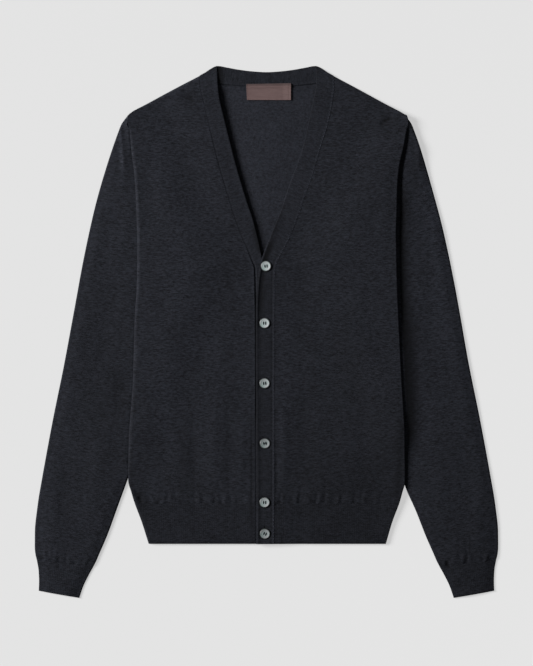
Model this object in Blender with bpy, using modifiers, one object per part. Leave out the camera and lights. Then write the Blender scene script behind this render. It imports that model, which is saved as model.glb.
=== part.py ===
# Fine-knit button cardigan, buttoned and laid flat, with its sleeves beside and partly
# under the body. Metres, +Z up: +Y points to the neck and -X to the wearer's right side.
# The origin is on the surface it lies on, at the centre of its outline.

import math
from collections import namedtuple
from itertools import pairwise

import bmesh
import bpy
from mathutils import Vector

MM = 0.001  # every size below is in millimetres

# Walls, and the gap at seams and where one piece lies on another
JERSEY = 1.2
RIB = 1.8
BAND = 2.0
LABEL = 1.0
GAP = 0.3

# Heights above the surface
BODY_HEIGHT = 5.0  # top of the fronts at the sides
HEM_HEIGHT = 4.5  # the same over the rib welt
CENTRE_SLACK = 0.4  # between the back and the button band
SLEEVE_HEIGHT = 5.0
CUFF_HEIGHT = 4.4
RIDE = 5.5  # underside of the body where it lies on a sleeve
NECK_LIFT = 1.2  # rise of the V edges over the inside of the back

# Where the body leaves a sleeve, measured out from the sleeve's hidden edge
BACK_DRAPE = (-38.0, -8.0)
FRONT_DRAPE = (-54.0, 16.0)

ORIGIN = Vector((0.0, 0.85, 0.0))  # the outline's centre in the numbers below

# Rows along Y
HEM = -300.8
RIB_SEAM = -244.0
SHOULDER_POINT = Vector((190.5, 314.5))
BACK_NECK_SEAM = 350.7
BACK_NECK_SAG = 1.2  # how much the ends of that seam lie above its middle
NECK_POINT_X = 70.0
NECK_STEP = (86.3, 95.6)  # step in the top of the back, round the end of its neck band
BACK_SHOULDER = (363.9, 312.0)  # the back's shoulder edge, at that step and at the side

# Hidden edges of a sleeve under the body, on the +X side
UNDERARM = Vector((91.0, 100.0))
SLEEVE_EMERGES = Vector((200.3, -211.0))
SLEEVE_HEAD = Vector((198.0, 307.0))

ROLL_WIDTH = 7.0  # soft roll at the sides and shoulders
EDGE_CLEARANCE = 1.0  # between a rolled side and the edge of the back
GATHER_DEPTH = 0.9
GATHER_WIDTH = 3.5
GATHER_LENGTH = 36.0

BUTTON_RADIUS = 7.7
BUTTON_HOLE_RADIUS = 0.9
BUTTON_HOLE_OFFSET = 1.6
BUTTON_STEPS = 14

# A section across a front: V or front edge of its band, seam of the band, side of the body
FrontSection = namedtuple("FrontSection", "edge_x edge_y seam_x seam_y side_x side_y")
RIGHT_FRONT = [
    FrontSection(8.6, HEM, -16.4, HEM, -167.5, HEM),
    FrontSection(8.6, -270.9, -16.4, -270.9, -177.5, -270.9),
    FrontSection(8.6, RIB_SEAM, -16.4, RIB_SEAM, -187.0, RIB_SEAM),
    FrontSection(8.6, -228.0, -16.4, -228.0, -191.7, -228.0),
    FrontSection(8.6, -208.0, -16.4, -208.0, -196.7, -208.0),
    FrontSection(8.6, -154.0, -16.4, -154.0, -196.7, -154.0),
    FrontSection(8.6, -68.0, -16.4, -68.0, -191.0, -68.0),
    FrontSection(8.6, 20.0, -16.4, 20.0, -187.4, 20.0),
    FrontSection(7.5, 60.0, -16.4, 60.0, -184.8, 60.0),
    FrontSection(1.5, 92.0, -16.4, 90.0, -183.8, 90.0),
    FrontSection(-2.5, 107.0, -18.4, 101.0, -183.4, 105.0),
    FrontSection(-7.4, 122.9, -23.8, 113.1, -182.8, 125.0),
    FrontSection(-17.5, 159.3, -40.2, 151.3, -184.0, 165.0),
    FrontSection(-25.1, 183.5, -48.5, 175.8, -184.6, 200.0),
    FrontSection(-42.4, 240.3, -66.4, 233.9, -185.4, 235.0),
    FrontSection(-50.5, 268.4, -74.0, 262.6, -188.6, 250.0),
    FrontSection(-61.9, 311.0, -84.8, 307.6, -193.2, 287.0),
    FrontSection(-66.7, 332.0, -89.4, 328.0, -197.0, 298.0),
    FrontSection(-69.0, 350.0, -93.8, 347.1, -197.0, 306.5),
    FrontSection(-70.3, 379.5, -95.2, 366.2, -190.5, 314.5),
]
LEFT_FRONT = [
    FrontSection(-14.0, HEM, 9.2, HEM, 168.9, HEM),
    FrontSection(-14.2, -270.9, 9.3, -270.9, 176.0, -270.9),
    FrontSection(-14.3, RIB_SEAM, 9.5, RIB_SEAM, 187.0, RIB_SEAM),
    FrontSection(-14.3, -228.0, 9.6, -228.0, 190.9, -228.0),
    FrontSection(-14.3, -208.0, 9.7, -208.0, 196.6, -208.0),
    FrontSection(-14.3, -154.0, 9.8, -154.0, 195.7, -154.0),
    FrontSection(-14.3, -68.0, 10.0, -68.0, 191.0, -68.0),
    FrontSection(-14.3, 19.0, 10.2, 20.0, 188.2, 20.0),
    FrontSection(-13.0, 60.0, 10.5, 60.0, 186.5, 60.0),
    FrontSection(-8.9, 86.5, 11.0, 85.7, 185.8, 88.0),
    FrontSection(-7.2, 99.0, 13.0, 96.7, 185.4, 103.0),
    FrontSection(-3.4, 114.0, 18.4, 108.9, 185.2, 120.0),
    FrontSection(6.1, 137.5, 28.3, 127.5, 184.8, 140.0),
    FrontSection(18.8, 171.0, 42.1, 161.0, 184.6, 170.0),
    FrontSection(30.6, 204.0, 53.6, 194.0, 186.4, 204.0),
    FrontSection(44.2, 240.5, 66.8, 232.5, 190.3, 236.0),
    FrontSection(54.2, 272.0, 76.6, 266.0, 195.6, 258.0),
    FrontSection(61.5, 305.0, 86.9, 300.0, 200.8, 284.0),
    FrontSection(66.6, 329.0, 91.8, 324.0, 201.6, 296.0),
    FrontSection(70.6, 352.1, 95.0, 348.0, 199.0, 306.0),
    FrontSection(70.1, 379.5, 95.2, 366.2, 190.5, 314.5),
]
RIB_ROW = 2  # the section at the top of the rib welt
SHOULDER_ROW_LENGTH = 14.0  # between the last two sections
SIDE_ROLL_SHARE = 0.955  # share across where the roll at the side begins

# Gathers where the jersey is drawn into a rib: their places across, from the band or outer fold
RIGHT_GATHERS = (0.20, 0.28, 0.33, 0.49, 0.65, 0.71, 0.945)
LEFT_GATHERS = (0.05, 0.21, 0.34, 0.42, 0.54, 0.64, 0.71, 0.80)
RIGHT_CUFF_GATHERS = (0.11, 0.28, 0.39, 0.52, 0.67, 0.885)
LEFT_CUFF_GATHERS = (0.24, 0.51, 0.63, 0.93)

# A section across a sleeve or a cuff: the fold on its outer side, the fold on its inner side
SleeveSection = namedtuple("SleeveSection", "outer_x outer_y inner_x inner_y height")
CUFF = [
    SleeveSection(324.3, -367.8, 267.3, -377.8, CUFF_HEIGHT),
    SleeveSection(324.4, -357.0, 263.0, -362.0, CUFF_HEIGHT),
    SleeveSection(324.9, -344.0, 256.6, -347.0, CUFF_HEIGHT),
    SleeveSection(325.7, -331.0, 253.3, -333.9, CUFF_HEIGHT),
]
SLEEVE = [
    SleeveSection(325.8, -330.7, 253.3, -333.6, CUFF_HEIGHT),
    SleeveSection(328.6, -321.0, 247.5, -326.5, SLEEVE_HEIGHT),
    SleeveSection(330.0, -310.0, 241.0, -317.0, SLEEVE_HEIGHT),
    SleeveSection(330.0, -285.0, 230.0, -290.0, SLEEVE_HEIGHT),
    SleeveSection(325.8, -245.2, 213.1, -247.0, SLEEVE_HEIGHT),
    SleeveSection(318.6, -202.4, 198.0, -204.5, SLEEVE_HEIGHT),
    SleeveSection(304.4, -125.5, 171.5, -129.0, SLEEVE_HEIGHT),
    SleeveSection(288.7, -48.5, 147.5, -60.7, SLEEVE_HEIGHT),
    SleeveSection(274.4, 28.5, 131.0, -13.8, SLEEVE_HEIGHT),
    SleeveSection(260.2, 105.5, 117.5, 24.6, SLEEVE_HEIGHT),
    SleeveSection(243.1, 182.5, 107.2, 54.0, SLEEVE_HEIGHT),
    SleeveSection(227.0, 238.0, 99.8, 75.0, SLEEVE_HEIGHT),
    SleeveSection(212.0, 282.0, 94.8, 89.2, 4.7),
    SleeveSection(205.8, 297.0, 92.5, 95.7, 4.5),
    SleeveSection(SLEEVE_HEAD.x, SLEEVE_HEAD.y, UNDERARM.x, UNDERARM.y, 4.3),
]

# The soft roll of a front, from its foot outside the edge of the back to its flat
RollStep = namedtuple("RollStep", "inward up")
ROLL = [
    RollStep(0.0, 0.0),
    RollStep(0.0, 0.42),
    RollStep(0.15, 0.72),
    RollStep(0.5, 0.92),
    RollStep(1.0, 1.0),
]

# Half of the back neck band, from the centre out
NeckSection = namedtuple("NeckSection", "low_x top_x top_y")
BACK_NECK = [
    NeckSection(0.0, 0.0, 370.2),
    NeckSection(20.0, 20.0, 370.9),
    NeckSection(40.0, 40.0, 373.0),
    NeckSection(56.0, 56.0, 376.2),
    NeckSection(70.0, NECK_POINT_X, 379.5),
    NeckSection(85.7, 94.7, 366.2),
]

Place = namedtuple("Place", "x y")
BUTTONS = [
    Place(-1.4, 94.1),
    Place(-3.6, 12.8),
    Place(-2.9, -72.7),
    Place(-2.3, -158.8),
    Place(-2.6, -242.9),
    Place(-2.1, -287.7),
]
LABEL_X = (-28.7, 34.9)
LABEL_Y = (330.7, 339.0, 346.0, 350.3, 354.2)

# The button's profile, down its outer side from the middle of its dish
ProfilePoint = namedtuple("ProfilePoint", "r z")
BUTTON_PROFILE = [
    ProfilePoint(0.0, 1.6),
    ProfilePoint(4.7, 1.6),
    ProfilePoint(5.8, 2.6),
    ProfilePoint(7.1, 2.4),
    ProfilePoint(BUTTON_RADIUS, 1.4),
    ProfilePoint(6.4, 0.0),
    ProfilePoint(0.0, 0.0),
]


def ramp(value, start, end):
    """0 up to start and 1 from end on, smooth between."""
    share = min(max((value - start) / (end - start), 0.0), 1.0)
    return share * share * (3.0 - 2.0 * share)


def between(table, value):
    """Straight interpolation in a table of (key, value) pairs whose keys rise."""
    for (low, at_low), (high, at_high) in pairwise(table):
        if value <= high:
            share = max((value - low) / (high - low), 0.0)
            return at_low + (at_high - at_low) * share
    return table[-1][1]


# --- Heights of the layers ---------------------------------------------------------------


def past_line(point, start, end):
    """How far a point lies to the left of the line from start to end."""
    along = (end - start).normalized()
    return along.cross(point - start)


def over_sleeve(x, y):
    """How far a point lies inside the hidden edges of the nearer sleeve, negative outside."""
    point = Vector((abs(x), y))
    under_fold = past_line(point, SLEEVE_EMERGES + (SLEEVE_EMERGES - UNDERARM), UNDERARM)
    under_cap = past_line(point, UNDERARM, SLEEVE_HEAD)
    return -max(under_fold, under_cap)


def back_low(x, y):
    """Underside of the back: flat on the surface, and over the sleeves at the sides."""
    return RIDE * ramp(over_sleeve(x, y), *BACK_DRAPE)


def from_v_edge(x, y):
    """Rough distance out from the V edge."""
    return abs(x) - 4.7 - 0.2885 * (min(y, 345.0) - 113.0)


def front_top(x, y):
    """Top of the fronts and of the button band."""
    rib_share = 1.0 - ramp(y, -240.0, -200.0)
    centre = JERSEY + (RIB - JERSEY) * rib_share + CENTRE_SLACK + BAND
    side = BODY_HEIGHT + (HEM_HEIGHT - BODY_HEIGHT) * rib_share
    height = centre + (side - centre) * ramp(abs(x), 20.0, 75.0)
    neck = ramp(y, 115.0, 200.0) * (1.0 - ramp(y, 330.0, 375.0))
    height += NECK_LIFT * neck * (1.0 - ramp(from_v_edge(x, y), 30.0, 90.0))
    return height + RIDE * ramp(over_sleeve(x, y), *FRONT_DRAPE)


def lap_lift(x, y):
    """Rise of the left front where its band lies on the button band."""
    return (BAND + GAP) * (1.0 - ramp(x, 12.0, 55.0)) * (1.0 - ramp(y, 120.0, 190.0))


def left_top(x, y):
    return front_top(x, y) + lap_lift(x, y)


def gather(across, up, places, width):
    """Dip of the gathers at a share across, a distance up from the rib seam."""
    fade = 1.0 - ramp(up, 0.0, GATHER_LENGTH)
    dips = (math.exp(-(((across - place) * width / GATHER_WIDTH) ** 2)) for place in places)
    return -GATHER_DEPTH * fade * max(dips)


# --- Meshes ------------------------------------------------------------------------------


def grid_faces(row_count, column_count, closed=False, flip=False):
    """Quads between neighbouring rows; closed joins the last column to the first."""
    faces = []
    for row in range(row_count - 1):
        for column in range(column_count if closed else column_count - 1):
            following = (column + 1) % column_count
            low = row * column_count
            high = low + column_count
            quad = (low + column, low + following, high + following, high + column)
            faces.append(quad[::-1] if flip else quad)
    return faces


def cloth_look(name, colour, roughness):
    material = bpy.data.materials.new(name)
    material.use_nodes = True
    shader = material.node_tree.nodes["Principled BSDF"]
    shader.inputs["Base Color"].default_value = (*colour, 1.0)
    shader.inputs["Roughness"].default_value = roughness
    shader.inputs["Metallic"].default_value = 0.0
    material.diffuse_color = (*colour, 1.0)
    return material


def add_piece(name, points, faces, colour, roughness=0.9):
    """An object from points in millimetres; points that coincide are merged."""
    model = bmesh.new()
    vertices = [model.verts.new((Vector(point) - ORIGIN) * MM) for point in points]
    for face in faces:
        model.faces.new([vertices[index] for index in face])
    bmesh.ops.remove_doubles(model, verts=model.verts, dist=0.01 * MM)
    mesh = bpy.data.meshes.new(name)
    model.to_mesh(mesh)
    model.free()
    mesh.shade_smooth()
    mesh.set_sharp_from_angle(angle=math.radians(50.0))
    piece = bpy.data.objects.new(name, mesh)
    piece.data.materials.append(cloth_look(name, colour, roughness))
    parts.objects.link(piece)
    return piece


def add_wall(piece, thickness):
    """Gives an open surface its wall, on the side away from its normals."""
    wall = piece.modifiers.new("wall", "SOLIDIFY")
    wall.thickness = thickness * MM
    wall.offset = -1.0
    wall.use_even_offset = True
    wall.use_quality_normals = True
    return piece


def add_strip(name, rings, colour):
    """A closed solid through rings of points, with a flat end at each end."""
    size = len(rings[0])
    points = [point for ring in rings for point in ring]
    faces = grid_faces(len(rings), size, closed=True)
    faces.append(tuple(reversed(range(size))))
    faces.append(tuple(range(len(points) - size, len(points))))
    piece = add_piece(name, points, faces, colour)
    model = bmesh.new()
    model.from_mesh(piece.data)
    bmesh.ops.recalc_face_normals(model, faces=model.faces)
    model.to_mesh(piece.data)
    model.free()
    return piece


# --- Fronts, ribs and bands --------------------------------------------------------------


def at_row(sections, row, x_name, y_name):
    """A border's point at a row number, which may lie between two sections."""
    first = min(int(row), len(sections) - 2)
    low, high = sections[first], sections[first + 1]
    start = Vector((getattr(low, x_name), getattr(low, y_name)))
    end = Vector((getattr(high, x_name), getattr(high, y_name)))
    return start.lerp(end, row - first)


def column_shares(places):
    """Columns at each gather and halfway between gathers, from the seam to the roll."""
    marks = [0.0, *places, 0.97] if places[-1] < 0.9 else [0.0, *places]
    shares = [0.0]
    for low, high in pairwise(marks):
        steps = 2 if high - low < 0.2 else 3
        shares += [low + (high - low) * step / steps for step in range(1, steps + 1)]
    return [share for share in shares if share < SIDE_ROLL_SHARE]


def front_sheet(name, sections, rows, wall, top, places, colour):
    """Part of a front between two row numbers; its side rolls down past the back's edge."""
    side_sign = math.copysign(1.0, sections[0].side_x)
    ends_at_shoulder = rows[-1] >= len(sections) - 1
    steps = [(row, 1.0) for row in rows]
    if ends_at_shoulder:
        last = float(len(sections) - 1)
        roll_rows = ROLL_WIDTH / SHOULDER_ROW_LENGTH
        steps = [(row, 1.0) for row in rows if row < last - roll_rows]
        steps += [(last - roll_rows * s.inward, s.up) for s in reversed(ROLL)]
    shares = column_shares(places)
    points = []
    for row, row_up in steps:
        inner = at_row(sections, row, "seam_x", "seam_y")
        inner.x += side_sign * (GAP + 0.05)
        outer = at_row(sections, row, "side_x", "side_y")
        width = (outer - inner).length
        flat = 1.0 - ROLL_WIDTH / width
        columns = [(share / SIDE_ROLL_SHARE * (flat - 0.02), 1.0) for share in shares]
        columns += [(1.0 - ROLL_WIDTH * s.inward / width, s.up) for s in reversed(ROLL)]
        for share, side_up in columns:
            x, y = inner.lerp(outer, share)
            foot = back_low(x, y)
            rise = top(x, y) - foot
            rise += gather(share, y - RIB_SEAM, places, width) if y > RIB_SEAM else 0.0
            points.append((x, y, foot + rise * min(row_up, side_up)))
    column_count = len(shares) + len(ROLL)
    faces = grid_faces(len(steps), column_count, flip=side_sign < 0.0)
    return add_wall(add_piece(name, points, faces, colour), wall)


def band_ring(seam, edge, top, wall):
    """Section of a band: square at its seam, rounded along its free edge."""
    out = (edge - seam).normalized()
    radius = wall / 2.0
    turn = edge - out * radius
    middle = seam.lerp(turn, 0.5)
    under = [(spot.x, spot.y, top(*spot) - wall) for spot in (seam, middle, turn)]
    over = [(spot.x, spot.y, top(*spot)) for spot in (turn, middle, seam)]
    nose = []
    for angle in (-45.0, 0.0, 45.0):
        spot = turn + out * (radius * math.cos(math.radians(angle)))
        rise = radius * math.sin(math.radians(angle))
        nose.append((spot.x, spot.y, top(*turn) - radius + rise))
    return under + nose + over


def front_band(name, sections, top, colour):
    rings = []
    for section in sections:
        seam = Vector((section.seam_x, section.seam_y))
        edge = Vector((section.edge_x, section.edge_y))
        rings.append(band_ring(seam, edge, top, BAND))
    return add_strip(name, rings, colour)


def make_front(side, sections, top, places):
    above = abs(sections[RIB_ROW + 1].side_y - sections[RIB_ROW].side_y)
    below = abs(sections[RIB_ROW].side_y - sections[RIB_ROW - 1].side_y)
    seam_row = RIB_ROW + 0.5 * GAP / above
    panel_rows = [seam_row, 2.45, 3.0, 3.5, 4.0, 4.5, 5.0, 6.0, 7.0]
    panel_rows += [float(row) for row in range(8, len(sections))]
    rib_rows = [0.0, 1.0, RIB_ROW - 0.5 * GAP / below]
    rib_places = places[1::2]
    front_sheet(f"front_{side}_panel", sections, panel_rows, JERSEY, top, places, KNIT)
    front_sheet(f"hem_rib_front_{side}", sections, rib_rows, RIB, top, rib_places, RIB_KNIT)
    front_band(f"band_{side}", sections, top, RIB_KNIT)


# --- Back --------------------------------------------------------------------------------


def side_table(sections):
    return [(s.side_y, abs(s.side_x)) for s in sections]


def back_seam_y(x):
    return BACK_NECK_SEAM + BACK_NECK_SAG * (x / 86.0) ** 2


def edge_inset(wall):
    """How far the back's edge lies inside the rolled side of a front."""
    return wall + EDGE_CLEARANCE


def back_top_y(share):
    """Top of the back at a share of its half width: neckline, step at the band, shoulder."""
    x = share * (SHOULDER_POINT.x - edge_inset(JERSEY))
    if x <= NECK_STEP[0] + GAP:
        return back_seam_y(x) - GAP
    ends = [(NECK_STEP[1], BACK_SHOULDER[0]), (SHOULDER_POINT.x, BACK_SHOULDER[1])]
    return between(ends, x)


def back_sheet(name, row_ys, wall, shares, top_y, colour):
    """Part of the back, from its flat underside up, set in from the rolled sides."""
    inset = edge_inset(wall)
    sides = {-1.0: side_table(RIGHT_FRONT), 1.0: side_table(LEFT_FRONT)}
    start, end = row_ys[0], row_ys[-1]
    across = [-share for share in reversed(shares) if share > 0.0] + list(shares)
    points = []
    for row_y in row_ys:
        for share in across:
            sign = math.copysign(1.0, share)
            x = share * (between(sides[sign], row_y) - inset)
            y = start + (top_y(abs(share)) - start) * (row_y - start) / (end - start)
            points.append((x, y, back_low(x, y)))
    faces = grid_faces(len(row_ys), len(across), flip=True)
    return add_wall(add_piece(name, points, faces, colour), wall)


def make_back():
    half_width = SHOULDER_POINT.x - edge_inset(JERSEY)
    shares = (0.0, 0.12, 0.24, 0.36, NECK_STEP[0] / half_width, NECK_STEP[1] / half_width)
    shares += (0.56, 0.63, 0.7, 0.77, 0.84, 0.92, 1.0)
    row_ys = (RIB_SEAM + 0.5 * GAP, -228.0, -208.0, -181.0, -154.0, -111.0, -68.0, -24.0, 20.0)
    row_ys += (60.0, 105.0, 165.0, 203.0, 236.0, 257.0, 286.0, 298.0, 307.0, SHOULDER_POINT.y)
    back_sheet("back_panel", row_ys, JERSEY, shares, back_top_y, KNIT)
    rib_ys = (HEM, -270.9, RIB_SEAM - 0.5 * GAP)
    rib_shares = (0.0, 0.25, 0.5, 0.7, 0.85, 1.0)
    back_sheet("hem_rib_back", rib_ys, RIB, rib_shares, lambda share: rib_ys[-1], RIB_KNIT)


def make_back_neck_band():
    halves = [(-1.0, section) for section in reversed(BACK_NECK[1:])]
    halves += [(1.0, section) for section in BACK_NECK]
    rings = []
    for sign, section in halves:
        seam = Vector((sign * section.low_x, back_seam_y(section.low_x)))
        edge = Vector((sign * section.top_x, section.top_y))
        rings.append(band_ring(seam, edge, lambda x, y: BAND, BAND))
    add_strip("band_back_neck", rings, RIB_KNIT)


def make_label():
    """Lies on the inside of the back, its top edge over the band's seam."""
    xs = [LABEL_X[0] + (LABEL_X[1] - LABEL_X[0]) * step / 4 for step in range(5)]
    points = []
    for y in LABEL_Y:
        under = JERSEY + (BAND - JERSEY) * ramp(y, 345.0, 350.0)
        points += [(x, y, under + GAP + LABEL) for x in xs]
    faces = grid_faces(len(LABEL_Y), len(xs))
    add_wall(add_piece("neck_label", points, faces, LABEL_WEAVE, 0.7), LABEL)


# --- Sleeves and cuffs -------------------------------------------------------------------


def tube_ring(section, sign, shares, dip):
    """Section of a flattened tube: flat below, round at its folds, with gathers on top."""
    outer = Vector((sign * section.outer_x, section.outer_y))
    inner = Vector((sign * section.inner_x, section.inner_y))
    along = (inner - outer).normalized()
    width = (inner - outer).length
    radius = section.height / 2.0

    def spot(distance, height):
        place = outer + along * distance
        return (place.x, place.y, height)

    def fold(centre, angles):
        turns = [math.radians(angle) for angle in angles]
        return [
            spot(centre + radius * math.cos(turn), radius + radius * math.sin(turn))
            for turn in turns
        ]

    run = width - 2.0 * radius
    below = [spot(radius + run * share, 0.0) for share in (0.0, 0.35, 0.65, 1.0)]
    above = [
        spot(radius + run * share, section.height + dip(share, width))
        for share in reversed(shares)
    ]
    return below + fold(width - radius, (-45, 0, 45)) + above + fold(radius, (135, 180, 225))


def make_tube(name, sections, sign, wall, places, colour, gathered):
    marks = [0.0, *places, 1.0]
    shares = [0.0]
    for low, high in pairwise(marks):
        shares += [(low + high) / 2.0, high]
    start = Vector((sections[0].outer_x, sections[0].outer_y))

    def ring(section):
        up = (Vector((section.outer_x, section.outer_y)) - start).length

        def dip(share, width):
            return gather(share, up, places, width) if gathered else 0.0

        return tube_ring(section, sign, shares, dip)

    rings = [ring(section) for section in sections]
    points = [point for one in rings for point in one]
    faces = grid_faces(len(rings), len(rings[0]), closed=True, flip=sign < 0.0)
    add_wall(add_piece(name, points, faces, colour), wall)


def make_sleeve(side, sign, places):
    make_tube(f"sleeve_{side}", SLEEVE, sign, JERSEY, places, KNIT, gathered=True)
    make_tube(f"cuff_{side}", CUFF, sign, RIB, places[1::2], RIB_KNIT, gathered=False)


# --- Buttons -----------------------------------------------------------------------------


def button_mesh():
    """A turned disc with a dish, a rim and four holes."""
    profile = bpy.data.meshes.new("button_profile")
    points = [(point.r * MM, 0.0, point.z * MM) for point in BUTTON_PROFILE]
    edges = [(index, index + 1) for index in range(len(points) - 1)]
    profile.from_pydata(points, edges, [])
    blank = bpy.data.objects.new("button_blank", profile)
    helpers.objects.link(blank)
    turn = blank.modifiers.new("turn", "SCREW")
    turn.steps = BUTTON_STEPS
    turn.render_steps = BUTTON_STEPS
    turn.use_merge_vertices = True
    turn.merge_threshold = 0.00001
    for index in range(4):
        angle = math.radians(45.0 + 90.0 * index)
        model = bmesh.new()
        radius = BUTTON_HOLE_RADIUS * MM
        bmesh.ops.create_cone(
            model, cap_ends=True, segments=6, radius1=radius, radius2=radius, depth=8.0 * MM
        )
        mesh = bpy.data.meshes.new(f"button_drill_{index + 1}")
        model.to_mesh(mesh)
        model.free()
        drill = bpy.data.objects.new(mesh.name, mesh)
        drill.location = Vector((math.cos(angle), math.sin(angle), 0.0)) * BUTTON_HOLE_OFFSET * MM
        drill.hide_render = True
        drill.display_type = "WIRE"
        helpers.objects.link(drill)
        cut = blank.modifiers.new(drill.name, "BOOLEAN")
        cut.operation = "DIFFERENCE"
        cut.object = drill
    bpy.context.view_layer.update()
    graph = bpy.context.evaluated_depsgraph_get()
    finished = bpy.data.meshes.new_from_object(blank.evaluated_get(graph))
    finished.name = "button"
    finished.shade_smooth()
    finished.set_sharp_from_angle(angle=math.radians(35.0))
    bpy.data.objects.remove(blank)
    return finished


def make_buttons():
    mesh = button_mesh()
    mesh.materials.clear()
    mesh.materials.append(cloth_look("button", BUTTON_PEARL, 0.25))
    for number, place in enumerate(BUTTONS, 1):
        button = bpy.data.objects.new(f"button_{number}", mesh)
        height = left_top(place.x, place.y) + GAP
        button.location = (Vector((place.x, place.y, height)) - ORIGIN) * MM
        parts.objects.link(button)


# --- The cardigan ------------------------------------------------------------------------

KNIT = (0.018, 0.019, 0.025)
RIB_KNIT = (0.015, 0.016, 0.021)
LABEL_WEAVE = (0.16, 0.10, 0.10)
BUTTON_PEARL = (0.20, 0.24, 0.24)

for old in list(bpy.data.objects):
    bpy.data.objects.remove(old)
parts = bpy.data.collections.new("button_cardigan")
helpers = bpy.data.collections.new("helpers")
bpy.context.scene.collection.children.link(parts)
bpy.context.scene.collection.children.link(helpers)

make_back()
make_back_neck_band()
make_label()
make_sleeve("right", -1.0, RIGHT_CUFF_GATHERS)
make_sleeve("left", 1.0, LEFT_CUFF_GATHERS)
make_front("right", RIGHT_FRONT, front_top, RIGHT_GATHERS)
make_front("left", LEFT_FRONT, left_top, LEFT_GATHERS)
make_buttons()
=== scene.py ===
# Looks of a fine-knit button cardigan, buttoned and laid flat on a pale floor.
# Sizes in the tables are millimetres; +Y points to the neck and -X to the wearer's right side.

import math
from collections import namedtuple
from itertools import pairwise

import bmesh
import bpy
import numpy as np
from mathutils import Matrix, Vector


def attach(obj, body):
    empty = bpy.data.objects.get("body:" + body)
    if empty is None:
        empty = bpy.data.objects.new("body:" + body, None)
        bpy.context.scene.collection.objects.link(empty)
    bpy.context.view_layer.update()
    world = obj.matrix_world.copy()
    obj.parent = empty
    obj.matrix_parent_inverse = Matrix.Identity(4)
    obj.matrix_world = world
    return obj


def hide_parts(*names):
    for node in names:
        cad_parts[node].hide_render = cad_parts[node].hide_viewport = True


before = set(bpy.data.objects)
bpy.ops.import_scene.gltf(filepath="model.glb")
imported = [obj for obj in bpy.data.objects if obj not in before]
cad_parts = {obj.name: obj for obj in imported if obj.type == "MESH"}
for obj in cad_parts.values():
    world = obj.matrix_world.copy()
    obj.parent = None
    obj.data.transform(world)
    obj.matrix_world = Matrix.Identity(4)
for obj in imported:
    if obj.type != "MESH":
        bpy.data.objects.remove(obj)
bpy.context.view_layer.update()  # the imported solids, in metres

# Walls and heights, the same as in the solids
jersey = 1.2
rib = 1.8
bandWall = 2
gap = 0.3
rideHeight = 5.5  # underside of the body where it lies on a sleeve
originY = 0.85  # the outline's centre in the tables
hemY = -301.6
ribSeamY = -244
neckSeamY = 349.4
neckSeamRise = 3.6  # how far the seam has risen at 64 from the middle
lap = 0.05  # sewn edges meet, so no light comes through
underarm = (91, 100)
sleeveEmerges = (200.3, -211)
sleeveHead = (198, 307)
shoulderX, shoulderY = 190.5, 314.5


def table(columns, rows):
    # rows of numbers whose columns have names
    row = namedtuple("row", columns)
    return [row(*numbers) for numbers in rows]


# A section across a front: free edge of its band, seam of the band, side of the body
frontColumns = "edgeX edgeY seamX seamY sideX sideY"
rightSections = table(frontColumns, [
    (8.6, -301.6, -15.4, -301.6, -168, -301.6),
    (8.6, -270.9, -15.3, -270.9, -177.8, -270.9),
    (8.6, -244, -15.2, -244, -187.6, -244),
    (8.6, -228, -15.2, -228, -192.2, -228),
    (8.6, -208, -15.1, -208, -196.7, -208),
    (8.6, -154, -15.4, -154, -195.8, -154),
    (8.6, -68, -15.2, -68, -190, -68),
    (8.6, 20, -15.6, 20, -187.4, 20),
    (7.5, 60, -16.2, 60, -184.8, 60),
    (-1, 92, -17, 90, -184, 90),
    (-6.5, 107, -20.6, 101, -183.8, 105),
    (-9.8, 122.6, -25.4, 113.1, -183.8, 125),
    (-18.9, 159.1, -41.4, 151.3, -185, 165),
    (-27.2, 183.7, -49.3, 175.8, -186.4, 200),
    (-44.1, 240.3, -67, 233.9, -189.2, 235),
    (-51.2, 268.4, -74.3, 262.6, -191.4, 250),
    (-61.9, 311, -84.8, 307.6, -194.6, 287),
    (-66.7, 332, -89.4, 328, -197, 298),
    (-69, 350, -93.8, 347.1, -197, 306.5),
    (-70.3, 378.9, -95.2, 365, -189.7, 314),
])
leftSections = table(frontColumns, [
    (-13.9, -301.6, 9.6, -301.6, 170.2, -301.6),
    (-13.8, -270.9, 9.8, -270.9, 179.2, -270.9),
    (-13.6, -244, 10, -244, 189, -244),
    (-13.6, -228, 10.1, -228, 193.3, -228),
    (-13.6, -208, 10.2, -208, 197.4, -208),
    (-14.2, -154, 10, -154, 197.2, -154),
    (-15.1, -68, 10, -68, 192.5, -68),
    (-15.2, 19, 10.2, 20, 188.2, 20),
    (-13.9, 60, 10.5, 60, 186.5, 60),
    (-10.8, 86.5, 11, 85.7, 185.8, 88),
    (-8.3, 99, 13, 96.7, 185.4, 103),
    (-3.4, 114, 18.4, 108.9, 185.2, 120),
    (6.1, 137.5, 28.3, 127.5, 184.8, 140),
    (19.9, 171, 42.6, 161, 185.8, 170),
    (30.6, 204, 53.6, 194, 186.4, 204),
    (44.2, 240.5, 66.8, 232.5, 189.3, 236),
    (54.2, 272, 76.6, 266, 194.4, 258),
    (61.5, 305, 86.9, 300, 199.2, 284),
    (66.6, 329, 91.8, 324, 200.8, 296),
    (70.6, 352.1, 95, 348, 199, 306),
    (70.1, 378.9, 95.2, 365, 189.3, 313.6),
])
ribRow = 2  # the section at the top of the rib welt

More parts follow.
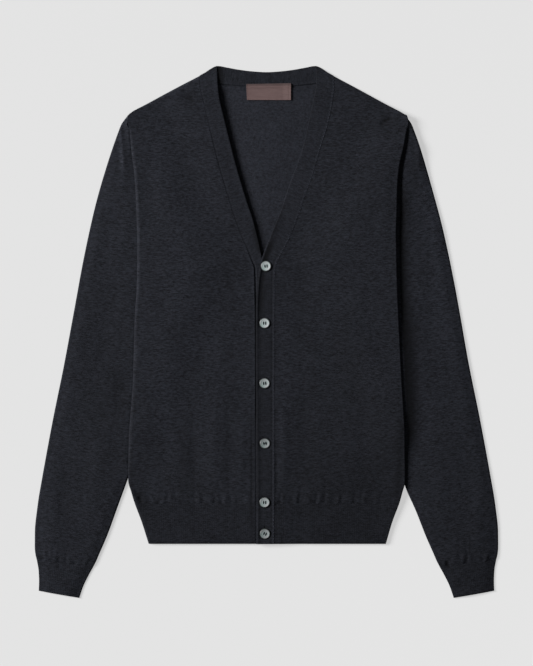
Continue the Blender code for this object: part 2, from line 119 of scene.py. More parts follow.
# A section across a sleeve or a cuff: the fold on its outer side, the fold on its inner side
sleeveColumns = "outerX outerY innerX innerY height"
cuffSections = table(sleeveColumns, [
    (324.4, -368.6, 266.7, -378.8, 4.4),
    (324, -354.5, 260.9, -362, 4.4),
    (324.7, -339.5, 253.6, -347, 4.4),
    (327.2, -324.6, 246.4, -333.9, 4.4),
])
sleeveSections = table(sleeveColumns, [
    (327.2, -324.6, 246.4, -333.9, 4.4),
    (329.2, -316, 242.3, -326, 5),
    (330.1, -305, 237.6, -315, 5),
    (329.9, -283, 226.6, -290, 5),
    (325.8, -245.2, 210.4, -247, 5),
    (318.6, -202.4, 195.4, -204.5, 5),
    (304.4, -125.5, 171.5, -129, 5),
    (288.7, -48.5, 147.5, -60.7, 5),
    (274.4, 28.5, 131, -13.8, 5),
    (260.2, 105.5, 117.5, 24.6, 5),
    (243.1, 182.5, 107.2, 54, 5),
    (227, 238, 99.8, 75, 5),
    (212, 282, 94.8, 89.2, 4.7),
    (205.8, 297, 92.5, 95.7, 4.5),
    (198, 307, 91, 100, 4.3),
])

# Half of the back neck band, from the centre out
neckSections = table("lowX topX topY", [
    (0, 0, 370.2),
    (20, 20, 371.3),
    (40, 40, 373.8),
    (56, 56, 376.7),
    (70, 70, 378.9),
    (85.7, 94.7, 365),
])

# Where the buttons sit, how far each is turned and how it tips, how bright its pearl is, partly painted
# light and shade for how it tips to the light, how far its buttonhole runs above it, and how many strands
# of thread a stitch has
buttonPlaces = table("x y turn tipX tipY shade slit strands", [
    (-0.5, 93.7, 4, 1, -5, 1.04, 8.6, 3),
    (-2.5, 12.6, -3, 2, -2, 1.16, 8.4, 3),
    (-2.6, -73, 5, -2, 2.5, 0.98, 8.4, 3),
    (-2.2, -158.4, 8, 2, 3, 0.78, 8.4, 4),
    (-2.5, -242.3, 0, -1.5, -2, 0.86, 8.4, 3),
    (-2.1, -286.8, -22, 2.5, 2, 0.76, 12, 3),
])

# A soft ridge, or a trough where its height is below 0, along a slightly bent line
foldColumns = "x1 y1 x2 y2 width height bend"


def ramp(value, start, end):
    # 0 up to start and 1 from end on, smooth between
    share = np.clip((value - start) / (end - start), 0, 1)
    return share * share * (3 - 2 * share)


def fall(value, start, end):
    return 1 - ramp(value, start, end)


def bump(value, centre, width):
    return np.exp(-(((value - centre) / width) ** 2))


def smoothLine(keys, values, at):
    # a smooth line through a table's values that never passes beyond them
    keys, values, at = (np.asarray(item, float) for item in (keys, values, at))
    step = np.diff(keys)
    slope = np.diff(values) / step
    tangent = np.zeros_like(values)
    same = slope[:-1] * slope[1:] > 0
    total = np.where(same, slope[:-1] + slope[1:], 1)
    tangent[1:-1] = np.where(same, 2 * slope[:-1] * slope[1:] / total, 0)
    tangent[0], tangent[-1] = slope[0], slope[-1]
    spot = np.clip(np.searchsorted(keys, at, side="right") - 1, 0, len(step) - 1)
    t = np.clip((at - keys[spot]) / step[spot], 0, 1)
    low, high = values[spot], values[spot + 1]
    bend = step[spot] * (tangent[spot] * t * (1 - t) ** 2 - tangent[spot + 1] * t * t * (1 - t))
    return low + (high - low) * t * t * (3 - 2 * t) + bend


def sectionsAt(sections, rows):
    # every column of a table at row numbers that may lie between its sections
    keys = np.arange(len(sections))
    names = sections[0]._fields
    return {name: smoothLine(keys, [getattr(s, name) for s in sections], rows) for name in names}


def evenRows(sections, first, last, spacing, xName, yName):
    # row numbers at even steps along one border of a table
    fine = np.linspace(first, last, 600)
    line = sectionsAt(sections, fine)
    steps = np.hypot(np.diff(line[xName]), np.diff(line[yName]))
    run = np.concatenate([[0], np.cumsum(steps)])
    count = max(int(round(run[-1] / spacing)), 2)
    return np.interp(np.linspace(0, run[-1], count + 1), run, fine)


def hills(x, y, cellX, cellY, seed):
    # smooth unevenness from -1 to 1, one cell across
    lattice = np.random.default_rng(seed).uniform(-1, 1, (64, 64))
    u, v = x / cellX + 640, y / cellY + 640
    column, row = np.floor(u).astype(int), np.floor(v).astype(int)
    shareU, shareV = ramp(u - column, 0, 1), ramp(v - row, 0, 1)

    def corner(addColumn, addRow):
        return lattice[(row + addRow) % 64, (column + addColumn) % 64]

    low = corner(0, 0) * (1 - shareU) + corner(1, 0) * shareU
    high = corner(0, 1) * (1 - shareU) + corner(1, 1) * shareU
    return low * (1 - shareV) + high * shareV


def foldRelief(x, y, folds):
    relief = np.zeros(np.broadcast(x, y).shape)
    for fold in folds:
        runX, runY = fold.x2 - fold.x1, fold.y2 - fold.y1
        length = math.hypot(runX, runY)
        along = ((x - fold.x1) * runX + (y - fold.y1) * runY) / length**2
        aside = ((y - fold.y1) * runX - (x - fold.x1) * runY) / length
        aside -= fold.bend * (1 - (2 * np.clip(along, 0, 1) - 1) ** 2)
        fade = ramp(along, -0.02, 0.28) * fall(along, 0.72, 1.02)
        relief += fold.height * fade * bump(aside, 0, fold.width)
    return relief


def pastLine(x, y, start, end):
    runX, runY = end[0] - start[0], end[1] - start[1]
    length = math.hypot(runX, runY)
    return (runX * (y - start[1]) - runY * (x - start[0])) / length


def overSleeve(x, y):
    # how far a point lies inside the hidden edges of the nearer sleeve
    before = (2 * sleeveEmerges[0] - underarm[0], 2 * sleeveEmerges[1] - underarm[1])
    underFold = pastLine(np.abs(x), y, before, underarm)
    underCap = pastLine(np.abs(x), y, underarm, sleeveHead)
    return -np.maximum(underFold, underCap)


def backLow(x, y):
    return rideHeight * ramp(overSleeve(x, y), -38, -8)


def fromNeckline(x, y):
    # how far a point lies outside a straight line along the V
    return x - 4.7 - 0.2885 * (np.minimum(y, 345) - 113)


def frontTop(x, y):
    # the fronts' own height, the rise along the V, and the lift over the sleeves
    ribShare = fall(y, -240, -200)
    centre = jersey + (rib - jersey) * ribShare + 0.4 + bandWall
    side = 5 - 0.5 * ribShare
    height = centre + (side - centre) * ramp(np.abs(x), 20, 75)
    neck = ramp(y, 60, 130) * fall(y, 330, 375)
    height += (1.3 + 0.7 * ramp(y, 135, 175)) * neck * fall(fromNeckline(np.abs(x), y), 30, 90)
    height -= 1.8 * ramp(y, 338, 368) * fall(np.abs(x), 95, 130)
    # towards the floor below the sleeves
    low = 1.6 * fall(y, -200, -130) * ramp(np.abs(x), 140, 190)
    return height + (rideHeight - low) * ramp(overSleeve(x, y), -54, 16)


def leftTop(x, y):
    # the left front rises where its band lies on the button band, and lies low along the V
    overBand = (bandWall + gap) * fall(x, 12, 55) * fall(y, 120, 190)
    besideV = ramp(y, 85, 145) * fall(y, 320, 372)
    return frontTop(x, y) + overBand - 2.8 * besideV * fall(fromNeckline(x, y), 26, 80)


# How high each sleeve lies beside the body's edge, how far out it evens out, and how far the left
# one rises as a whole
valleys = table("y right left reach rise", [
    (-250, 4.4, 4.4, 14, 0),
    (-215, 5.9, 6.3, 12, 0),
    (-190, 6, 6, 12, 0),
    (-165, 5, 5.8, 18, 0),
    (-140, 5.2, 6.4, 22, 0),
    (-100, 5.8, 7.2, 24, 0),
    (-54, 6, 7.4, 24, 0),
    (0, 5.6, 6.2, 22, 0),
    (31, 5, 5.1, 22, 0),
    (80, 4.6, 5, 24, 0),
    (117, 4.4, 4.5, 24, 0),
    (150, 4.4, 3.2, 18, 0.2),
    (180, 4.5, 2.4, 12, 0.4),
    (210, 4.9, 2.3, 10, 0.7),
    (240, 5.6, 2.9, 9, 1.3),
    (265, 6.8, 4.6, 8, 2.3),
    (281, 8, 5.8, 7, 3.2),
    (289, 9, 8.4, 6, 3.9),
    (294, 9.6, 10.1, 5, 4.5),
    (306, 9.8, 10.1, 5, 4.5),
    (314.5, 6.5, 6.5, 5, 4),
])


def valleyAt(name, y):
    keys = [valley.y for valley in valleys]
    return smoothLine(keys, [getattr(valley, name) for valley in valleys], np.clip(y, keys[0], keys[-1]))


def sideFoot(x, y):
    # lower edge of a rolled side: on the floor, or just above the sleeve under it
    edge = np.where(x < 0, valleyAt("right", y), valleyAt("left", y))
    return backLow(x, y) / rideHeight * (edge + gap)


def sideTable(sections):
    rows = np.linspace(0, len(sections) - 1, 400)
    line = sectionsAt(sections, rows)
    return line["sideY"], np.abs(line["sideX"])


def neckSeam(x):
    return neckSeamY + neckSeamRise * (x / 64) ** 2


sideLines = {-1: sideTable(rightSections), 1: sideTable(leftSections)}


def sideAt(sign, y):
    ys, xs = sideLines[sign]
    return np.interp(y, ys, xs)


def gridFaces(rowCount, columnCount, closed=False):
    row, column = np.mgrid[0 : rowCount - 1, 0 : columnCount if closed else columnCount - 1]
    after = (column + 1) % columnCount
    low, high = row * columnCount, (row + 1) * columnCount
    return np.stack([low + column, low + after, high + after, high + column], -1).reshape(-1, 4)


def gridNormals(points, closed):
    if closed:
        across = np.roll(points, -1, axis=1) - np.roll(points, 1, axis=1)
    else:
        across = np.gradient(points, axis=1)
    normals = np.cross(across, np.gradient(points, axis=0))
    return normals / np.maximum(np.linalg.norm(normals, axis=2, keepdims=True), 1e-9)


def newMesh(name, points, faces):
    mesh = bpy.data.meshes.new(name)
    mesh.from_pydata(points, [], faces)
    return mesh


def addObject(name, data):
    made = bpy.data.objects.new(name, data)
    bpy.context.scene.collection.objects.link(made)
    return made


def addPiece(name, points, faces, uvs, finish, shade=None):
    # an object from points in millimetres and from cloth coordinates in metres
    placed = (np.asarray(points, float).reshape(-1, 3) - (0, originY, 0)) * 0.001
    mesh = newMesh(name, placed.tolist(), faces.tolist())
    layer = mesh.uv_layers.new(name="cloth")
    layer.uv.foreach_set("vector", np.asarray(uvs, float).reshape(-1, 2)[faces.ravel()].ravel())
    if shade is not None:
        mesh.attributes.new("shade", "FLOAT", "POINT").data.foreach_set("value", shade.ravel())
    mesh.shade_smooth()
    mesh.set_sharp_from_angle(angle=math.radians(50))
    mesh.materials.append(finish)
    return addObject(name, mesh)


def closeEnds(faces, rowCount, size, outer, inner):
    # adds the quads between two matching lines of columns in the first row and in the last
    quads = np.stack([inner[:-1], inner[1:], outer[1:], outer[:-1]], -1)
    return np.concatenate([*faces, quads, (quads + (rowCount - 1) * size)[:, ::-1]])


def underSide(top, wall, closed):
    under = top - wall * gridNormals(top, closed)
    under[..., 2] = np.maximum(under[..., 2], 0.03)
    return under


def weld(piece):
    # joins the two copies of the line where a tube closes
    model = bmesh.new()
    model.from_mesh(piece.data)
    bmesh.ops.remove_doubles(model, verts=model.verts, dist=0.000002)
    model.to_mesh(piece.data)
    model.free()
    return piece


def addSheet(name, top, uv, wall, finish, shade=None):
    # a closed sheet of cloth from the grid of its upper side; rows run up and columns run to +X
    rowCount, columnCount = top.shape[:2]
    size, columns = 2 * columnCount, np.arange(columnCount)
    skin = gridFaces(rowCount, size, closed=True)
    faces = closeEnds([skin], rowCount, size, columns, size - 1 - columns)
    rings, uv, shade = (
        None if upper is None else np.concatenate([upper, lower[:, ::-1]], axis=1)
        for upper, lower in ((top, underSide(top, wall, False)), (uv, uv), (shade, shade))
    )
    return addPiece(name, rings, faces, uv, finish, shade)


def addTube(name, outside, uv, wall, finish, shade):
    # an open tube of cloth from the rings of its outer side; uv and shade have one more column
    rowCount, size = uv.shape[:2]
    inside = underSide(outside, wall, True)
    shells = [np.concatenate([shell, shell[:, :1]], axis=1) for shell in (outside, inside)]
    skin, columns, below = gridFaces(rowCount, size), np.arange(size), rowCount * size
    faces = closeEnds([skin, skin[:, ::-1] + below], rowCount, size, columns, columns + below)
    uv, shade = (np.concatenate([item] * 2) for item in (uv, shade))
    return weld(addPiece(name, np.concatenate(shells), faces, uv, finish, shade))


def addStrip(name, rings, uv, finish, shade):
    # a closed solid through rings of points, flat at both ends; uv and shade have one more column
    rowCount, columnCount = rings.shape[:2]
    size, columns = columnCount + 1, np.arange(columnCount // 2)
    faces = closeEnds([gridFaces(rowCount, size)], rowCount, size, columns, columnCount - 1 - columns)
    return weld(addPiece(name, np.concatenate([rings, rings[:, :1]], axis=1), faces, uv, finish, shade))


def dress(piece, slotName, *nodes):
    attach(piece, "root")
    if nodes:
        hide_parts(*nodes)
    return piece


class Wire:
    # an output socket that takes part in sums; colours go through Mix and vectors through Vector Math
    def __init__(self, finish, socket):
        self.finish, self.socket = finish, socket

    def combine(self, operation, first, second):
        if self.socket.type == "RGBA":
            settings = {"data_type": "RGBA", "blend_type": operation}
            return self.finish.node("ShaderNodeMix", settings, {0: 1, 6: first, 7: second}, 2)
        kind = "ShaderNodeVectorMath" if self.socket.type == "VECTOR" else "ShaderNodeMath"
        return self.finish.node(kind, {"operation": operation}, {0: first, 1: second})

    def __add__(self, other):
        return self.combine("ADD", self, other)

    def __radd__(self, other):
        return self.combine("ADD", other, self)

    def __sub__(self, other):
        return self.combine("SUBTRACT", self, other)

    def __rsub__(self, other):
        return self.combine("SUBTRACT", other, self)

    def __mul__(self, other):
        return self.combine("MULTIPLY", self, other)

    def __rmul__(self, other):
        return self.combine("MULTIPLY", other, self)

    def act(self, operation, other=0):
        # any other Math operation
        return self.finish.node("ShaderNodeMath", {"operation": operation}, {0: self, 1: other})


class Finish:
    # a material; what is the same all over is set on the shader's own sockets
    def __init__(self, name, even):
        self.material = bpy.data.materials.new(name)
        self.material.use_nodes = True
        self.tree = self.material.node_tree
        self.shader = self.tree.nodes["Principled BSDF"]
        for key, value in even.items():
            self.shader.inputs[key].default_value = value

    def node(self, kind, settings=None, sockets=None, output=0):
        made = self.tree.nodes.new(kind)
        for key, value in (settings or {}).items():
            if key == "stops":
                while len(made.color_ramp.elements) < len(value):
                    made.color_ramp.elements.new(0.5)
                for stop, (position, colour) in zip(made.color_ramp.elements, value):
                    stop.position, stop.color = position, (*colour, 1)
            else:
                setattr(made, key, value)
        for key, value in (sockets or {}).items():
            given = made.inputs[key]
            if isinstance(value, Wire):
                self.tree.links.new(value.socket, given)
            elif given.type == "RGBA":
                given.default_value = (*value, 1)
            else:
                given.default_value = value
        return Wire(self, made.outputs[output])

    def cloth(self):
        return self.node("ShaderNodeUVMap", {"uv_map": "cloth"})

    # the shade attribute: painted shade on the colour, and painted light where it is below 0
    def shade(self):
        return self.node("ShaderNodeAttribute", {"attribute_name": "shade"}, output=2)

    def parts(self, vector):
        return [self.node("ShaderNodeSeparateXYZ", {}, {"Vector": vector}, part) for part in (0, 1)]

    def mix(self, share, first, second):
        return self.node("ShaderNodeMix", {"data_type": "RGBA"}, {0: share, 6: first, 7: second}, 2)

    def feed(self, key, wire):
        self.tree.links.new(wire.socket, self.shader.inputs[key])

    def feedBump(self, height, distance=0.001):
        sockets = {"Strength": 1, "Distance": distance, "Height": height}
        self.feed("Normal", self.node("ShaderNodeBump", {}, sockets))


def clothFinish(name, look):
    # knitted cloth: a melange of short flecks along the courses, and stitches too fine to see far off
    even = {"Metallic": 0, "Specular IOR Level": look["gloss"], "Sheen Weight": look["fuzz"]}
    even |= {"Sheen Roughness": 0.6, "Sheen Tint": (0.75, 0.8, 1, 1)}
    finish = Finish(name, even)

    def stretched(across, along, detail, seed):
        sockets = {"Vector": finish.cloth() * (across, along, 1), "W": seed, "Scale": 1}
        sockets |= {"Detail": detail, "Roughness": 0.55}
        return finish.node("ShaderNodeTexNoise", {"noise_dimensions": "4D"}, sockets)

    across, along = look["fleckAcross"], look["fleckAlong"]
    flecks = stretched(across, along, 2, 1.3)
    fine = stretched(across * 2.6, along * 1.9, 1, 4.1)
    clouds = stretched(look["cloudAcross"], look["cloudAlong"], 2, 7.7)
    hue = stretched(across * 0.6, along * 0.8, 1, 11.9)
    melange = (flecks - 0.5) * look["fleck"] + (fine - 0.5) * look["fine"] + (clouds - 0.5) * look["cloud"]
    # the colour is darkened by the painted shade in the shade attribute, and lightened by painted light
    # where it is below 0
    amount = (1 + melange).act("MAXIMUM", 0.25) * (1 - finish.shade())
    hueShare = ((hue - 0.5) * look["hueContrast"] + 0.5).act("MINIMUM", 1).act("MAXIMUM", 0)
    finish.feed("Base Color", finish.mix(hueShare, look["cool"], look["warm"]) * amount)
    finish.feed("Roughness", look["roughness"] + (fine - 0.5) * 0.12)

    # stitches: two slanting legs to a wale, one course above the other
    across, along = finish.parts(finish.cloth())
    across, along = across * (1 / look["wale"]), along * (1 / look["course"])
    leg = (across.act("FRACT") - 0.5).act("ABSOLUTE")
    loop = ((along + leg * look["slant"]) * math.tau).act("SINE") * 0.5 + 0.5
    column = (leg * math.tau).act("SINE").act("ABSOLUTE")
    ribs = (across * look["ribEvery"] * math.tau).act("SINE") * look["ribHeight"]
    finish.feedBump(loop * column * look["stitch"] + ribs + (fine - 0.5) * look["fuzzHeight"])
    return finish.material


jerseyLook = {
    "cool": (0.01345, 0.01572, 0.02115),
    "warm": (0.01545, 0.01588, 0.02090),
    "fleck": 3.45,
    "fine": 2.2,
    "cloud": 0.35,
    "fleckAcross": 172,
    "fleckAlong": 720,
    "cloudAcross": 30,
    "cloudAlong": 60,
    "wale": 0.0013,
    "course": 0.0010,
    "slant": 1,
    "stitch": 0.12,
    "ribEvery": 0.5,
    "ribHeight": 0,
    "fuzzHeight": 0.12,
    "gloss": 0.12,
    "fuzz": 0.03,
    "hueContrast": 1.6,  # between cool and warm
    "roughness": 0.86,
}


def lookFrom(base, brightness, **changes):
    look = dict(base, **changes)
    for key in ("cool", "warm"):
        look[key] = tuple(channel * brightness for channel in base[key])
    return look


jerseyFinish = clothFinish("jerseyKnit", jerseyLook)
insideLook = lookFrom(jerseyLook, 1.26, fleck=2, fine=1.5, fleckAcross=260, fleckAlong=420, slant=0.15)
insideFinish = clothFinish("jerseyInside", insideLook)
# painted shade: the rib knit is darker than the jersey, for the shade between its ribs
ribFinish = clothFinish("ribKnit", lookFrom(jerseyLook, 0.71, ribHeight=0.035, fleck=3.1))
bandFinish = clothFinish("bandKnit", lookFrom(jerseyLook, 0.96, ribHeight=0.02, fleck=2.6))
print("cloth finishes made")


frontShape = {
    "columns": 1.5,  # spacing of the grid
    "rows": 3,
    "roll": {-1: 5, 1: 1.8},  # width of the soft roll down a side
    "bow": {-1: 0.7, 1: 0.4},  # how much a shoulder bows up between neck and sleeve
    "shoulderRoll": 0.36,  # in rows of the table
    "unevenness": 0.32,
    "gatherDepth": 0.75,
    "gatherWidth": 2.6,
    "pucker": 0.6,  # fine wrinkles that the rib welt draws in
    "tint": {-1: -0.01, 1: 0.10},  # painted shade: the left front is painted darker, the right one a little lighter
    "seamColumns": (0, 0.25, 0.7, 1.3, 2, 2.8),  # finer along the seam
    "cut": ((0.187, 0.624), 0.092),
    "hemCut": ((0.176, 0.0577), 0.0094),
}

# Gathers above the rib welt: share across from the band's seam, depth and length up
gatherColumns = "share depth length"
rightGathers = table(gatherColumns, [
    (0.10, 0.5, 16),
    (0.20, 0.8, 22),
    (0.28, 1, 28),
    (0.34, 0.7, 16),
    (0.43, 0.6, 18),
    (0.50, 1, 24),
    (0.58, 0.6, 14),
    (0.65, 0.9, 28),
    (0.71, 0.8, 20),
    (0.80, 0.5, 15),
])
leftGathers = table(gatherColumns, [
    (0.05, 0.8, 22),
    (0.13, 0.6, 14),
    (0.20, 1.2, 32),
    (0.34, 0.9, 24),
    (0.405, 1.3, 34),
    (0.47, 0.6, 16),
    (0.54, 0.8, 26),
    (0.64, 0.9, 20),
    (0.69, 0.9, 30),
    (0.76, 0.9, 22),
    (0.86, 0.5, 14),
])

rightFolds = table(foldColumns, [
    (-106, -92, -108, -232, 8, -0.7, 4),
    (-74, -100, -72, -230, 8, 0.6, -3),
    (-56, -84, -55, -236, 6.5, -0.6, 3),
    (-38, -110, -37, -228, 6, 0.5, 2),
    (-21.4, -110, -21, -300, 1.6, -0.4, 0.2),
    (-181.5, -232, -176.8, -244.5, 3.4, -1.7, 0),
    (-188, -224, -184, -233, 3, -1.2, 0),
    (-186, -20, -188, -60, 6, 0.7, 2),
    (-150, 230, -100, 120, 22, 0.8, 10),
    (-172, 262, -168, 120, 12, -0.7, 6),
    (-123, 339, -100, 327, 5, -1.4, 0),
    (-160, 60, -90, -40, 20, -0.6, -8),
])
leftFolds = table(foldColumns, [
    (23, -84, 24, -236, 6, 0.7, 2),
    (60, -60, 66, -234, 12, -0.7, -6),
    (110, -40, 118, -230, 14, 0.6, 5),
    (159, 294.6, 180.5, 306.4, 2.6, -1.7, 0.6),
    (100, 240, 150, 100, 20, 0.7, -10),
    (172, 240, 170, 110, 11, 0.6, -4),
    (60, 110, 120, 20, 18, -0.6, 8),
])


# Painted shade on a front along creases, folds and edges (painted light where the height is below 0), in
# shares of its brightness
rightPaintedShade = table(foldColumns, [
    (-112, 225, -94, -60, 26, -0.10, 0),
    (-52, 130, -50, -215, 14, 0.07, 0),
    (-118, -110, -122, -250, 12, 0.12, 0),
    (-106, -76, -106, -236, 5, 0.08, 2),
    (-73, -80, -73, -236, 5, -0.07, -2),
    (-56, -80, -55, -236, 4, 0.07, 2),
    (-38, -80, -37, -236, 4.5, -0.06, 1),
    (-184.5, 0, -185.5, -66, 4.5, -0.14, 1),
    (-146, 0, -142, -220, 15, -0.21, 0),
    (-106, -140, -106, -270, 13, 0.11, 0),
    (-165, -190, -163, -244, 9, -0.14, 0),
    (-32, -255, -32, -345, 15, -0.11, 0),
    (-172, 320, -134, 190, 18, -0.22, 0),
    (-107, 352, -104, 285, 12, 0.13, 0),
    (-183.5, -222, -174.5, -252, 5.5, 0.5, 0),
    (-118, 338, -103, 328, 4, 0.30, 0),
    (-112, 349, -105, 309, 8, 0.14, 0),
])
leftPaintedShade = table(foldColumns, [
    (24.5, 75, 24.5, -215, 8, -0.13, 0),
    (60, 250, 62, -235, 18, 0.06, 0),
    (112, 60, 118, -160, 24, 0.15, 0),
    (122, -160, 122, -330, 62, 0.14, 0),
    (150, 338, 188, 280, 14, 0.20, 0),
    (156, 291, 179, 306.5, 3, 0.30, 0),
    (134, 0, 134, -160, 14, 0.08, 0),
    (193, -100, 185, -262, 5, 0.30, 0),
    (34, -255, 34, -345, 20, -0.18, 0),
    (29, 90, 29, -330, 17, -0.10, 0),
    (152, 160, 150, -5, 18, -0.10, 0),
    (170, -60, 160, -250, 26, 0.11, 0),
    (161, 295.4, 179.5, 305.6, 1.8, 0.35, 0.4),
])


def gatherDip(share, up, gathers, width):
    dip = np.zeros(np.broadcast(share, up).shape)
    for gather in gathers:
        fade = fall(up, 0, 1.25 * gather.length)
        offset = (share - gather.share) * width / frontShape["gatherWidth"]
        lean = offset - 0.12 * up / frontShape["gatherWidth"] * math.sin(9 * gather.share)
        dip = np.maximum(dip, gather.depth * fade * np.exp(-(lean**2)))
    return -frontShape["gatherDepth"] * dip


def seamLip(sign, y, fromSeam):
    # the wearer's right front sinks into a groove along its band, the left one rises in a ridge
    if sign < 0:
        below = fall(y, 96, 125)
        depth = 0.16 + 0.6 * below * (0.25 + 0.75 * ramp(y, -190, -90))
        ridge = 0.24 * below * ramp(y, -150, -70)
        return ridge * bump(fromSeam, 1.7, 1.3) - depth * fall(fromSeam, 0, 0.9)
    low = fall(y, -215, -130)
    below = fall(y, 80, 115)
    welt = 0.4 + 0.6 * ramp(y, -262, -240)
    ridge = (0.14 + 0.12 * below) * bump(fromSeam, 0.2, 1.9) + 0.2 * low * bump(fromSeam, 0.5, 0.8)
    return welt * (ridge - 0.35 * low * bump(fromSeam, 4.8, 2.2))


def frontSheetTop(sign, isPanel, x, y, fromSeam, share, width):
    side = frontSides[sign]
    calm = fall(share, 0.94, 1)  # the relief dies out where the side rolls down
    relief = frontShape["unevenness"] * hills(x, y, 38, 85, 5) + foldRelief(x, y, side.folds)
    top = side.topAt(x, y) + relief * (1 if isPanel else 0.55) * calm + seamLip(sign, y, fromSeam)
    if isPanel:
        up = y - ribSeamY
        pucker = frontShape["pucker"] * hills(x - 0.15 * up, y, 4.6, 60, 61) * fall(up, 2, 19)
        top += (gatherDip(share, up, side.gathers, width) + pucker) * calm
        return top + 0.25 * bump(up, 3, 2.2) - 0.3 * fall(up, 0, 1.6)
    top = top - 0.3 * fall(ribSeamY - y, 0, 1.4) - 0.9 * fall(y - hemY, 0, 1.5)
    return top + 0.2 * bump(y - hemY, 5.5, 2.2) + 0.16 * hills(x, y, 13, 16, 62)


def frontShade(sign, isPanel, x, y, fromSeam, width):
    # painted shade: one front darker than the other, and in the groove at the right front's seam
    shade = frontShape["tint"][sign] + 0.08 * fall(fromSeam, 0, 1) * (sign < 0)
    if sign < 0:  # painted shade along the band's seam and in a groove beside it, clearer towards the hem, and over the lit roll of the side
        shade += seamPaintedShade(y) * fall(fromSeam, 0.2, 0.9)
        low = fall(y, -160, -80)
        shade += low * (0.36 * bump(fromSeam, 6.1, 1.2) * ramp(y, -290, -240) + 0.14)
        shade -= 0.14 * low * ramp(fromSeam, 5, 9)
        shade += 0.24 * bump(width - fromSeam, 2.6, 3.2) * fall(y, 0, 90)
    if sign > 0:  # painted shade on the side away from the light, where it borders on the floor
        shade += 0.45 * ramp(fromSeam - width, -2.2, -0.5) * fall(y, -222, -210)
    if not isPanel:
        # painted shade along the rib welt's lower edge, in uneven patches; the left front's painted shade
        # is eased on its rib welt
        patches = 0.16 * ramp(hills(x, y, 17, 90, 63), 0.1, 0.8)
        shade -= 0.06 if sign > 0 else 0
        shade += (0.30 + 2 * patches) * fall(y - hemY, 0.6, 3.2 + 16 * patches)
    else:
        shade += (0.11 if sign < 0 else 0.13) * fall(y, -235, -50)
    # painted shade along creases, folds and edges, and painted light where the table's height is below 0
    return shade + foldRelief(x, y, frontSides[sign].dims)


def makeFrontSheet(name, sections, firstRow, lastRow, wall, sign, finish):
    isPanel = lastRow == len(sections) - 1
    flatEnd = lastRow - frontShape["shoulderRoll"] * isPanel
    rows = evenRows(sections, firstRow, flatEnd, frontShape["rows"], "sideX", "sideY")
    ups = np.ones_like(rows)
    if isPanel:  # it rolls down at the shoulder
        turns = np.radians(np.linspace(0, 90, 8)[1:])
        rows = np.concatenate([rows, flatEnd + frontShape["shoulderRoll"] * np.sin(turns)])
        ups = np.concatenate([ups, np.cos(turns)])
    line = sectionsAt(sections, rows)
    innerX, innerY, outerX, outerY = (line[key][:, None] for key in ("seamX", "seamY", "sideX", "sideY"))
    innerX += sign * lap
    width = np.hypot(outerX - innerX, outerY - innerY)
    roll = frontShape["roll"][sign]
    flat = width - roll
    count = int(round(width.max() / frontShape["columns"]))
    near = np.repeat([frontShape["seamColumns"]], len(rows), 0)
    start = near[0, -1]
    level = start + (flat - start) * np.linspace(0, 1, count + 1)[1:]
    turns = np.radians(np.linspace(0, 90, 10))
    fromSeam = np.concatenate([near, level, flat + roll * np.sin(turns) + 1e-3], axis=1)
    sideUp = np.concatenate([np.ones(near.shape[1] + count), np.cos(turns)])
    share = fromSeam / width
    x = innerX + (outerX - innerX) * share
    y = innerY + (outerY - innerY) * share
    foot = sideFoot(x, y)
    top = frontSheetTop(sign, isPanel, x, y, fromSeam, share, width)
    if isPanel:
        bow = frontShape["bow"][sign] * ramp(rows, lastRow - 2.5, lastRow)[:, None]
        y += bow * 4 * share * (1 - share)
    points = np.stack([x, y, foot + (top - foot) * np.minimum(ups[:, None], sideUp)], -1)
    uv = np.stack([sign * fromSeam, y], -1) * 0.001
    shade = frontShade(sign, isPanel, x, y, fromSeam, width)
    if sign < 0:
        points, uv, shade = (item[:, ::-1] for item in (points, uv, shade))
    return addSheet(name, points, uv, wall, finish, shade)


FrontSide = namedtuple("FrontSide", "name sections topAt gathers folds dims")
frontSides = {
    -1: FrontSide("Right", rightSections, frontTop, rightGathers, rightFolds, rightPaintedShade),
    1: FrontSide("Left", leftSections, leftTop, leftGathers, leftFolds, leftPaintedShade),
}


def makeFronts():
    for sign, side in frontSides.items():
        sections = side.sections
        below, above = (abs(sections[row + 1].sideY - sections[row].sideY) for row in (ribRow - 1, ribRow))
        panelRows = (ribRow - lap / above, len(sections) - 1)
        panel = makeFrontSheet(f"front{side.name}", sections, *panelRows, jersey, sign, jerseyFinish)
        dress(panel, "knit", f"front_{side.name.lower()}_panel")
        hemRows = (0, ribRow + lap / below)
        hem = makeFrontSheet(f"hemFront{side.name}", sections, *hemRows, rib, sign, ribFinish)
        dress(hem, "rib_knit", f"hem_rib_front_{side.name.lower()}")
        sewing = makeStitches(side.name, sign, sections)
    print("fronts and hem ribs made")


bandShape = {
    "rows": 1.6,
    "columns": 34,
    "nose": 7,  # steps round the free edge
    "neckRows": 110,
    "cut": ((0.0255, 0.7), 0.0177),
    "neckCut": ((0.19, 0.0275), 0.0038),
}


def bandRings(seamX, seamY, edgeX, edgeY, heightAt, wall):
    # a ring at each row: over the top from seam to edge, round the free edge, back underneath
    runX, runY = edgeX - seamX, edgeY - seamY
    width = np.hypot(runX, runY)
    outX, outY = runX / width, runY / width
    radius = wall / 2
    shares = np.linspace(0, 1, bandShape["columns"])
    flat = (width - radius)[:, None]
    first = np.repeat([[0, 0.35, 0.9]], len(width), 0)  # finer columns along the seam
    distance = np.concatenate([first, 1.6 + (flat - 1.6) * shares], axis=1)
    count = distance.shape[1]
    turns = np.radians(np.linspace(90, -90, bandShape["nose"])[1:])
    backShares = (0.66, 0.33, 0)
    run = np.concatenate([distance, flat + radius * np.cos(turns), flat * np.array(backShares)], axis=1)
    x = seamX[:, None] + outX[:, None] * run
    y = seamY[:, None] + outY[:, None] * run
    over = heightAt(x[:, :count], y[:, :count], distance, width[:, None])
    noseZ = over[:, -1:] - radius + radius * np.sin(turns)
    backZ = over[:, [int(share * (count - 1)) for share in backShares]] - wall
    z = np.maximum(np.concatenate([over, noseZ, backZ], axis=1), 0)
    return np.stack([x, y, z], -1), run


